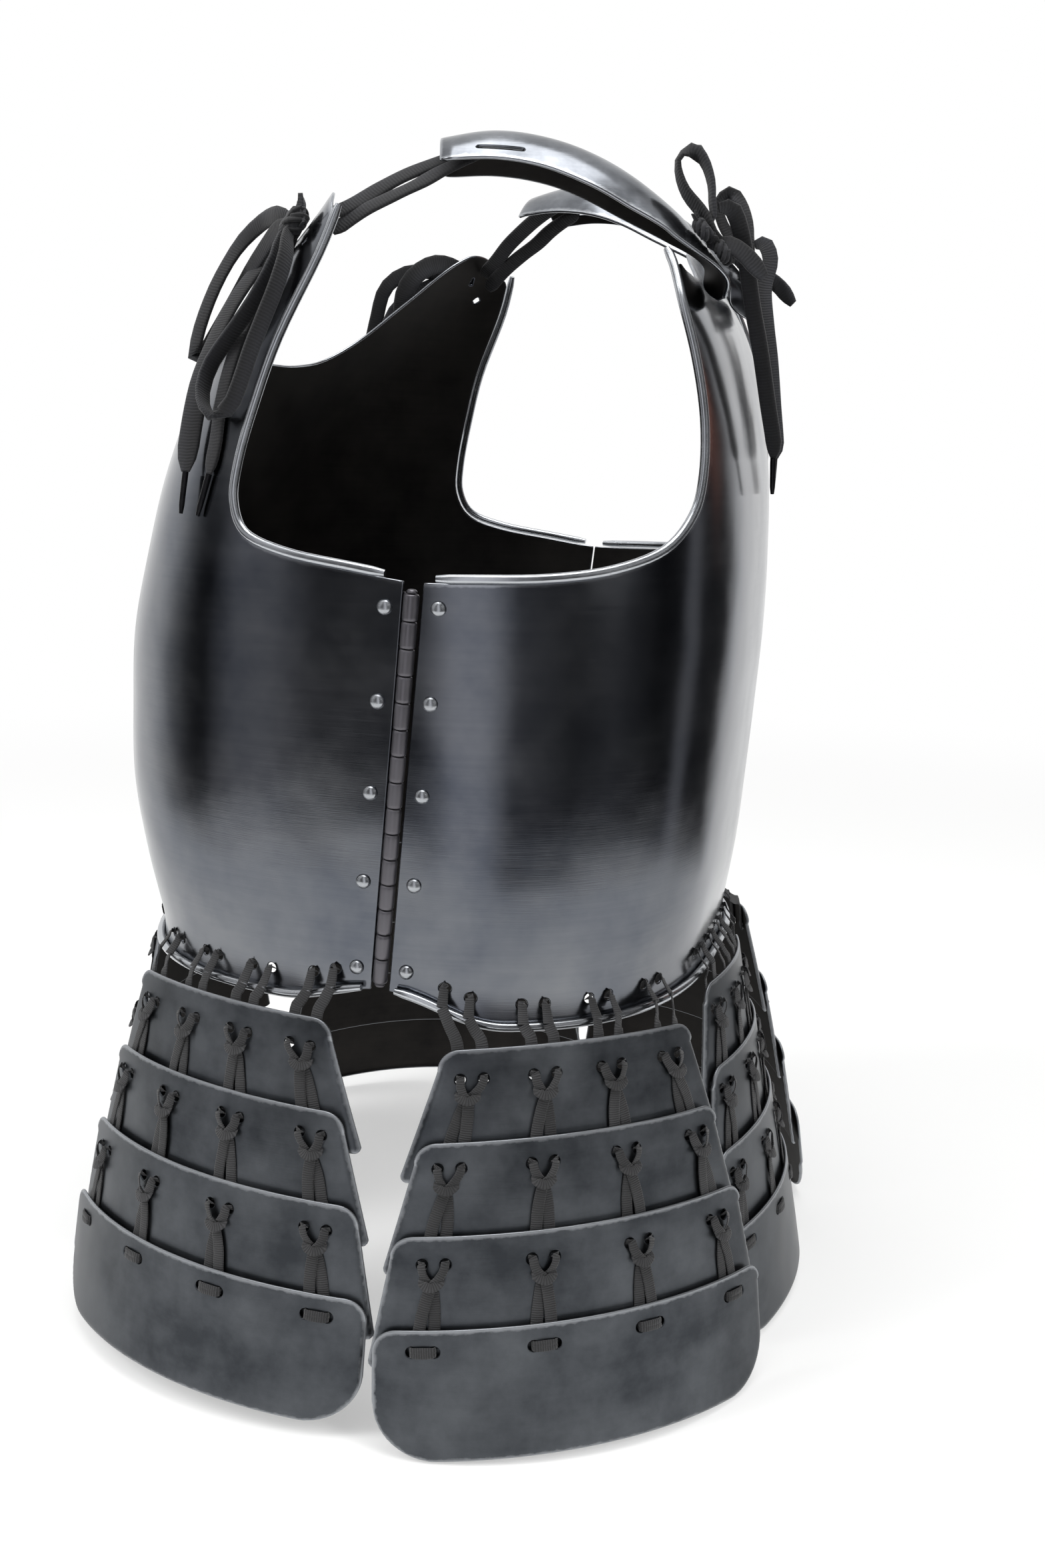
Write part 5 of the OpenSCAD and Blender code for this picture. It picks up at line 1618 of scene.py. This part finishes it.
@dataclass
class Ties:
    """The tying cords: bows at the front tabs, ties over the straps' ends and the right side's two knots."""

    bow_knot: tuple[float, float] = (8.4, 12)
    back_knot: tuple[float, float] = (6.6, 6.8)
    side_knot: tuple[float, float] = (5.8, 5.5)
    bow_place: tuple[float, float] = (-42, 352)
    back_places: tuple[tuple[float, float], ...] = ((0.79, 0.35), (0.86, 0.35))
    side_heights: tuple[float, float] = (40, 150)
    side_out: float = 1.1
    side_width: float = 5
    wide_tail: float = 11
    right_tail_in: float = 5
    knot_turns: int = 3
    knot_points: int = 37
    knot_lead: float = 0.7
    knot_swing: float = 62
    frayed_ends: tuple[tuple[float, float], ...] = ((0.9, 0.5), (1.5, 0.9), (3.9, 0.4))
    band_thickness: float = 2.2

    def bow_route(self, route: Sequence[Sequence[float]]) -> list[np.ndarray]:
        """A route given as depth, height and distance from the plate, as points."""
        return [FORM.side_point(y, z, out) for y, z, out in route]

    def cords(self) -> list[Cord]:
        """Every free cord of the armour, left and right.

        Returns:
            The cords.
        """
        rows = []
        on_edge, lying = (0.45, 0.9, 0.0), (0.9, -0.42, 0.0)
        bows = [
            ("bow_long_loop", [(-43, 350, 7.5), (-45, 343, 8), (-45, 334, 8), (-52, 320, 8), (-60, 309, 8),
                               (-69, 299, 8), (-77, 288, 8.5), (-79, 276, 9), (-74, 267, 9.5), (-67, 265, 9),
                               (-60, 269, 8.5), (-56, 280, 8), (-52, 294, 8), (-47, 308, 8), (-42, 322, 8),
                               (-39, 336, 8), (-41, 345, 8), (-42, 350, 7)],
             on_edge, None),
            ("bow_flat_loop", [(-43, 353, 9), (-49, 352, 15), (-60, 347, 20), (-72, 336, 22), (-82, 322, 19),
                               (-91, 307, 15), (-98, 295, 11), (-100, 290, 8.5), (-98, 295, 6.5),
                               (-92, 306, 6.5), (-84, 319, 7.5), (-74, 332, 10), (-62, 342, 11),
                               (-52, 348, 11), (-43, 351, 8.5)], lying, None),
            ("bow_wide_tail", [(-38, 351, 5), (-41, 358, 8), (-48, 359, 9), (-58, 352, 8.5), (-67, 342, 8),
                               (-74, 329, 7.5), (-80, 314, 7), (-84, 298, 7), (-86, 283, 7), (-87, 268, 6.5),
                               (-88, 253, 6), (-88, 240, 6)],
             lying, [(-88, 240, 6), (-88.5, 230, 6), (-89, 221, 6)]),
            ("bow_slim_tail", [(-43, 350.5, 5), (-47, 346, 3.8), (-54, 336, 2.8), (-60, 325, 2.6),
                               (-65, 312, 2.6), (-69, 298, 2.6), (-72, 282, 2.6), (-73, 268, 2.6),
                               (-73, 255, 2.6), (-75, 240, 3)],
             lying, [(-75, 240, 3), (-78, 230, 3), (-81, 221, 3)])]
        strands = [[(80, 32, 396), (84, 20, 392), (90, 9, 387), (98, -2, 381), (104, -11, 375),
                    (112, -20.6, 367.3), (118, -27.8, 362.5), (122, -31.6, 360.4)],
                   [(92, 34, 390.2), (95, 25, 386.8), (99, 16, 382), (104, 7, 376), (109, -4, 370),
                    (115, -15, 363.5), (119.5, -23, 357.5), (123.5, -29, 352.3)]]
        loop = [(65, 139, 361), (64, 140, 365), (64, 139, 371), (63, 138, 380), (62, 134, 390),
                (62, 128, 395), (62, 122, 392), (62, 122, 385), (63, 126, 376), (64, 133, 368),
                (65, 137, 363), (65.5, 139.5, 356), (65, 142.5, 351.6), (65, 146, 352), (65, 150, 351),
                (63, 157, 346), (61, 165, 337)]
        tail = [(64.2, 142.3, 368.4), (60.5, 148, 368.4), (57, 152, 359), (52, 155, 344), (46, 158, 325),
                (40, 162, 305), (32, 166, 280), (26, 169, 262), (24, 169, 254)]
        for side, flip in (("left", False), ("right", True)):
            for name, route, facing, tip in bows:
                rows.append(Cord(f"{side}_{name}", self.bow_route(route), facing, "front", "front_ties",
                                 "fitting" if tip else "object", tip=self.bow_route(tip) if tip else None,
                                 mirrored=flip))
                if name == "bow_wide_tail":
                    rows[-1] = replace(rows[-1], width=self.wide_tail, end_facing=(1, 0, 0))
            for k, route in enumerate(strands):
                rows.append(Cord(f"{side}_strap_strand_{k + 1}", route, (0.2, 0.5, 0.8), f"{side}_strap",
                                 f"{side}_strap_ties", mirrored=flip))
            rows.append(Cord(f"{side}_back_loop", loop, (0.4, -1, 0.3), f"{side}_strap", f"{side}_strap_ties",
                             "bare", mirrored=flip, end_facing=(1, 0.1, 0.4)))
            close = np.array([0, self.right_tail_in if flip else 0, 0])
            rows.append(Cord(f"{side}_back_tail", tail[:3] + [np.array(p) - close for p in tail[3:]],
                             (1, -0.3, 0), f"{side}_tail", f"{side}_strap_tail", "fitting",
                             tip=[np.array(p) - close for p in ((24, 169, 254), (22, 169, 245),
                                                                (20, 169, 236))],
                             mirrored=flip))
        for k in range(2):
            base = self.side_base(k) * (-1, 1, 1)
            for name, s in (("front", -1), ("back", 1)):
                route = [base + np.array((a + 2.5, s * b, c)) for a, b, c in (
                    (0, 3, 0), (2, 8, -6), (3, 10, -24), (2, 10, -44), (1, 10, -66), (0, 10, -90))]
                rows.append(Cord(f"side_tie_{k + 1}_{name}_tail", route, (1, 0, 0), "front", "front_ties",
                                 "knot", width=self.side_width, mirrored=True))
        return rows

    def side_base(self, k: int) -> np.ndarray:
        """Where side tie k is knotted, on the right side's seam.

        Args:
            k: The tie, 0 or 1.

        Returns:
            The knot's place.
        """
        z = self.side_heights[k]
        return np.array([-float(FORM.station(FORM.half_widths, z)) - self.side_out, float(FORM.split_y(z)),
                         z])

    def knot(self, name: str, centre: np.ndarray, normal: np.ndarray, radius: float, height: float, body: str,
             node: str, finishes: Finishes) -> None:
        """Builds a knot of flat cord, wound over and under itself.

        Args:
            name: The object's name.
            centre: The middle of its foot.
            normal: The direction in which it stands out.
            radius: Its radius.
            height: Its height.
            body: The body that it rides on.
            node: The node that it replaces.
            finishes: The armour's materials.
        """
        side = unit(np.cross(normal, [0.1, 0.2, 1.0]))
        up = np.cross(side, normal)
        paths, facings = [], []
        for turn in range(self.knot_turns):
            t = np.linspace(0, 2 * math.pi, self.knot_points) + turn * self.knot_lead
            swing = math.radians(self.knot_swing * turn)
            a = radius * 0.72 * np.cos(t)
            b = height * 0.30 * np.sin(t) + height * 0.5
            c = radius * 0.25 * np.sin(2 * t)
            x = a * math.cos(swing) - c * math.sin(swing)
            y = a * math.sin(swing) + c * math.cos(swing)
            paths.append(centre + np.outer(x, side) + np.outer(y, up) + np.outer(b, normal))
            facings.append(np.outer(np.cos(t), side * math.cos(swing) + up * math.sin(swing))
                           + np.outer(np.sin(t), normal))
        sizes = [np.ones(self.knot_points)] * self.knot_turns
        for angle, lift in self.frayed_ends:
            way = math.cos(angle) * side + math.sin(angle) * up
            reach = np.linspace(0.2, 1.0, 9)
            paths.append(centre + np.outer(reach * radius * 1.5, way)
                         + np.outer(height * (0.5 + lift * 0.5 * reach ** 2), normal))
            facings.append(normal + 0.6 * np.cross(way, normal))
            sizes.append(np.interp(reach, [0.2, 0.7, 1.0], [0.5, 0.42, 0.3]))
        piece = Strip.make(name, paths, facings, radius * 1.15, self.band_thickness, finishes.cord, sizes, 12)
        settle(piece, body, node)

    def build(self, finishes: Finishes) -> None:
        """Builds the cords and their knots.

        Args:
            finishes: The armour's materials.
        """
        for cord in self.cords():
            cord.build(finishes)
        straps = Straps()
        y, z = self.bow_place
        for side, flip in (("left", 1), ("right", -1)):
            mirror = np.array([flip, 1, 1])
            self.knot(f"{side}_bow_knot", FORM.side_point(y, z, 1.2) * mirror,
                      FORM.normal(FORM.side_angle(y, z), z) * mirror, *self.bow_knot, "front", "front_ties",
                      finishes)
            for k, (u, s) in enumerate(self.back_places):
                at = straps.point(np.array(u), np.array(s))
                du = straps.point(np.array(u + 0.01), np.array(s)) - at
                ds = straps.point(np.array(u), np.array(s + 0.05)) - at
                normal = unit(np.cross(ds, du))
                self.knot(f"{side}_back_knot_{k + 1}", (at + normal * 2.0) * mirror, normal * mirror,
                          *self.back_knot, f"{side}_strap", f"{side}_strap_ties", finishes)
        for k in range(2):
            self.knot(f"side_knot_{k + 1}", self.side_base(k), np.array([-1.0, 0, 0]), *self.side_knot,
                      "front", "front_ties", finishes)
        log.info("ties")


@dataclass
class Hangers:
    """The strands from the shells' holes to the rolled rim, which stay with the shells."""

    lace_width: float = 6
    lace_thick: float = 1

    def build(self, finishes: Finishes) -> None:
        """Builds the strands of both shells.

        Args:
            finishes: The armour's materials.
        """
        for name, numbers in (("front", (0, 1, 5)), ("back", (2, 3, 4))):
            paths, facings, sizes = [], [], []
            for t in numbers:
                bands = Tasset(t).hanger_bands(False)
                paths, facings, sizes = paths + bands[0], facings + bands[1], sizes + bands[2]
            piece = Strip.make(f"{name}_hanger_strands", paths, facings, self.lace_width, self.lace_thick,
                               finishes.lace, sizes, 10)
            settle(piece, name, f"{name}_hanger_laces")
            log.info("%d %s hanger strands", len(paths), name)


@dataclass
class Studio:
    """The camera at the photograph's place, the pale floor and the soft light."""

    eye: tuple[float, float, float] = (0.8363, 0.2185, -0.1421)
    forward: tuple[float, float, float] = (-0.94315, -0.26386, -0.20210)
    roll: float = 1.26
    lens: float = 35.97
    floor: float = -0.5985
    lit_point: tuple[float, float, float] = (0, 0, -0.3)
    floor_rings: tuple[float, ...] = (1.0, 3.0, 9.0)
    floor_sides: int = 48
    room_turns: tuple[float, float] = (-98, 152)
    room_parts: int = 74
    room_height: float = 1.9
    room_reach: tuple[float, float] = (0.88, 0.21)
    room_narrows: tuple[float, float] = (-30, 50)
    room_tones: tuple[tuple[float, float], ...] = (
        (-98, 0.8), (-88, 0.2), (-82, 0.03), (-62, 0.03), (-50, 0.36), (-38, 0.34), (-27, 0.06), (-11, 0.05),
        (-3, 0.95), (7, 0.9), (17, 0.16), (40, 0.05), (62, 0.09), (88, 0.02), (101, 0.03), (107, 0.3),
        (112, 0.3), (118, 0.04), (139, 0.03), (146, 0.4), (152, 1.0))
    room_fades: tuple[tuple[str, float, float], ...] = (
        ("X", 0.0, 0.13), ("X", 1.0, 0.935), ("Y", 0.0, 0.045), ("Y", 1.0, 0.6))
    warm_turn: float = 128
    warm_height: float = 0.3
    warm_hex: str = "#9c6a5c"
    lamps: tuple[tuple[str, tuple[float, ...], tuple[float, float], float], ...] = (
        ("window_left", (1.1, -1.5, 0.9), (0.7, 1.8), 34), ("window_right", (0.9, 1.7, 0.7), (0.6, 1.8), 26),
        ("softbox_above", (0.3, 0.1, 2.1), (1.6, 1.6), 30))

    def build_camera(self) -> None:
        """Places the camera for an upright image of 1568 by 2352; the image size itself is not set here."""
        ahead = unit(np.array(self.forward))
        right = unit(np.cross(ahead, [0, 0, 1]))
        up = np.cross(right, ahead)
        r = math.radians(self.roll)
        right, up = right * math.cos(r) + up * math.sin(r), up * math.cos(r) - right * math.sin(r)
        data = bpy.data.cameras.new("camera")
        data.sensor_fit, data.sensor_height, data.lens = "VERTICAL", 36.0, self.lens
        data.clip_start = 0.01
        camera = link("camera", data)
        self.aim(camera, right, up, -ahead, self.eye)
        bpy.context.scene.camera = camera

    @staticmethod
    def aim(thing: bpy.types.Object, right: np.ndarray, up: np.ndarray, back: np.ndarray,
            place: Sequence[float]) -> None:
        """Puts a camera or lamp at a place.

        Args:
            thing: The camera or lamp.
            right: The direction of its right side.
            up: The direction of its top.
            back: The direction of its back.
            place: Where it stands.
        """
        matrix = np.eye(4)
        matrix[:3] = np.column_stack([right, up, back, place])
        thing.matrix_world = Matrix(matrix.tolist())

    def build_floor(self) -> None:
        """Builds the wide pale floor, which turns into the white of the background with distance."""
        sides = self.floor_sides
        turns = np.linspace(0, 2 * math.pi, sides + 1)[:-1]
        points = [(0, 0, self.floor)]
        points += [(r * math.cos(t), r * math.sin(t), self.floor) for r in self.floor_rings for t in turns]
        faces = [(0, 1 + i, 1 + (i + 1) % sides) for i in range(sides)]
        for a in range(1, 1 + sides * (len(self.floor_rings) - 1), sides):
            b = a + sides
            faces += [(a + i, b + i, b + (i + 1) % sides, a + (i + 1) % sides) for i in range(sides)]
        material = bpy.data.materials.new("pale_backdrop_paper")
        tree = empty_tree(material)
        paper = add_node(tree, "ShaderNodeBsdfDiffuse", {"Color": colour("#f4f4f3")})
        glow = add_node(tree, "ShaderNodeEmission", {"Color": colour("#ffffff"), "Strength": 1.0})
        rays = add_node(tree, "ShaderNodeLightPath")
        seen = add_node(tree, "ShaderNodeMath", {0: rays.outputs["Is Camera Ray"],
                                                 1: rays.outputs["Is Glossy Ray"]},
                        operation="MAXIMUM")
        seen = add_node(tree, "ShaderNodeMath", {0: seen, 1: rays.outputs["Is Transmission Ray"]},
                        operation="MAXIMUM")
        here = add_node(tree, "ShaderNodeTexCoord").outputs["Object"]
        away = add_node(tree, "ShaderNodeVectorMath", {0: here}, operation="LENGTH")
        white = add_node(tree, "ShaderNodeMapRange", {"Value": away.outputs["Value"], "From Min": 0.8,
                                                      "From Max": 2.2, "To Min": 0.4, "To Max": 1.0},
                         interpolation_type="SMOOTHSTEP")
        share = add_node(tree, "ShaderNodeMath", {0: seen, 1: white},
                         operation="MULTIPLY")
        mix = add_node(tree, "ShaderNodeMixShader", {0: share, 1: paper, 2: glow})
        add_node(tree, "ShaderNodeOutputMaterial", {"Surface": mix})
        mesh = bpy.data.meshes.new("backdrop")
        mesh.from_pydata([list(p) for p in points], [], faces)
        mesh.materials.append(material)
        mesh.polygons.foreach_set("use_smooth", np.ones(len(faces), bool))
        link("backdrop", mesh)

    def build_room(self) -> None:
        """Builds the dark side of the room that the polished plates mirror, with pale strips of window light.

        It is a stage piece that only glossy rays meet: a curved wall round the camera's side of the armour.
        Towards the back shell it has a weak warm patch, and its ends and its top fade out.
        """
        first, last = self.room_turns
        wide, nearer = self.room_reach
        starts, narrows = self.room_narrows
        points, faces, maps = [], [], []
        for t in np.radians(np.linspace(first, last, self.room_parts + 1)):
            reach = wide - nearer * float(ramp((math.degrees(t) - starts) / narrows))
            for rise in (0.0, self.room_height):
                points.append((reach * math.cos(t), reach * math.sin(t), self.floor + 0.01 + rise))
        for k in range(self.room_parts):
            a, b = k / self.room_parts, (k + 1) / self.room_parts
            faces.append((2 * k, 2 * k + 1, 2 * k + 3, 2 * k + 2))
            maps += [(a, 0), (a, 1), (b, 1), (b, 0)]
        mesh = bpy.data.meshes.new("dark_room")
        mesh.from_pydata(points, [], faces)
        mesh.uv_layers.new(name="surface").data.foreach_set("uv", np.array(maps, np.float32).ravel())
        material = bpy.data.materials.new("dark_room_cloth")
        tree = empty_tree(material)
        axes = add_node(tree, "ShaderNodeSeparateXYZ", {"Vector": add_node(
            tree, "ShaderNodeUVMap", uv_map="surface").outputs["UV"]})
        tones = add_node(tree, "ShaderNodeValToRGB", {"Fac": axes.outputs["X"]})
        ramp_colours = tones.color_ramp.elements
        while len(ramp_colours) > 1:
            ramp_colours.remove(ramp_colours[-1])
        for k, (turn, level) in enumerate(self.room_tones):
            at = (turn - first) / (last - first)
            stop = ramp_colours[0] if k == 0 else ramp_colours.new(at)
            stop.position = at
            stop.color = (level, level, level * 1.04, 1)
        across = add_node(tree, "ShaderNodeMath", {0: axes.outputs["X"],
                                                   1: (first - self.warm_turn) / (last - first)},
                          operation="ADD")
        spread = add_node(tree, "ShaderNodeMath", {0: across, 1: 3.2}, operation="MULTIPLY")
        rise = add_node(tree, "ShaderNodeMath", {0: axes.outputs["Y"], 1: -self.warm_height}, operation="ADD")
        spot = add_node(tree, "ShaderNodeCombineXYZ", {"X": spread, "Y": rise})
        far = add_node(tree, "ShaderNodeVectorMath", {0: spot}, operation="LENGTH")
        near = add_node(tree, "ShaderNodeMapRange", {"Value": far.outputs["Value"], "From Min": 0.12,
                                                     "From Max": 0.03, "To Max": 0.85},
                        interpolation_type="SMOOTHSTEP")
        warm = add_node(tree, "ShaderNodeMix", {0: near, 6: tones,
                                                7: colour(self.warm_hex)}, data_type="RGBA")
        glow = add_node(tree, "ShaderNodeEmission", {"Color": warm.outputs[2], "Strength": 1.0})
        fades = [add_node(tree, "ShaderNodeMapRange", {"Value": axes.outputs[axis], "From Min": low,
                                                       "From Max": high},
                          interpolation_type="SMOOTHSTEP") for axis, low, high in self.room_fades]
        cover = fades[0].outputs["Result"]
        for fade in fades[1:]:
            cover = add_node(tree, "ShaderNodeMath", {0: cover, 1: fade.outputs["Result"]},
                             operation="MULTIPLY")
        clear = add_node(tree, "ShaderNodeBsdfTransparent")
        both = add_node(tree, "ShaderNodeMixShader", {0: cover, 1: clear, 2: glow})
        add_node(tree, "ShaderNodeOutputMaterial", {"Surface": both})
        mesh.materials.append(material)
        room = link("dark_room", mesh)
        room.visible_camera = room.visible_diffuse = room.visible_transmission = room.visible_shadow = False

    def build_light(self) -> None:
        """Builds soft lamps at both sides and above, and a white world that is dim on the camera's side."""
        for name, place, size, power in self.lamps:
            data = bpy.data.lights.new(name, "AREA")
            data.shape, data.size, data.size_y, data.energy = "RECTANGLE", size[0], size[1], power
            back = unit(np.array(place) - self.lit_point)
            right = np.array([1.0, 0, 0]) if name == "softbox_above" else unit(np.cross([0, 0, 1.0], back))
            self.aim(link(name, data), right, np.cross(back, right), back, place)
        world = bpy.data.worlds.new("studio")
        tree = empty_tree(world)
        way = add_node(tree, "ShaderNodeTexCoord").outputs["Generated"]
        toward = add_node(tree, "ShaderNodeVectorMath", {0: way, 1: (0.96, 0.27, 0.0)},
                          operation="DOT_PRODUCT")
        dim = add_node(tree, "ShaderNodeMapRange", {"Value": toward.outputs["Value"], "From Min": 0.1,
                                                    "From Max": 0.75, "To Min": 1.0, "To Max": 0.06})
        rays = add_node(tree, "ShaderNodeLightPath")
        glossy = add_node(tree, "ShaderNodeMix", {0: rays.outputs["Is Glossy Ray"], 2: 0.55, 3: dim},
                          data_type="FLOAT")
        open_rays = add_node(tree, "ShaderNodeMath", {0: rays.outputs["Is Camera Ray"],
                                                      1: rays.outputs["Is Transmission Ray"]},
                             operation="MAXIMUM")
        strength = add_node(tree, "ShaderNodeMix", {0: open_rays, 2: glossy, 3: 1.0},
                            data_type="FLOAT")
        sky = add_node(tree, "ShaderNodeBackground", {"Color": colour("#ffffff"), "Strength": strength})
        add_node(tree, "ShaderNodeOutputWorld", {"Surface": sky})
        bpy.context.scene.world = world
        bpy.context.scene.view_settings.view_transform = "Standard"

    def build(self) -> None:
        """Builds the floor and the light."""
        self.build_floor()
        self.build_room()
        self.build_light()


def main() -> None:
    """Builds the camera, the cords, the plates and the laces, and the studio."""
    logging.basicConfig(level=logging.INFO, format="%(message)s")
    studio = Studio()
    studio.build_camera()
    finishes = Finishes()
    Ties().build(finishes)
    Shells().build(finishes)
    Hinge().build(finishes)
    Straps().build(finishes)
    Hangers().build(finishes)
    for number in range(6):
        Tasset(number).build(finishes)
    studio.build()


if __name__ == "__main__":
    main()
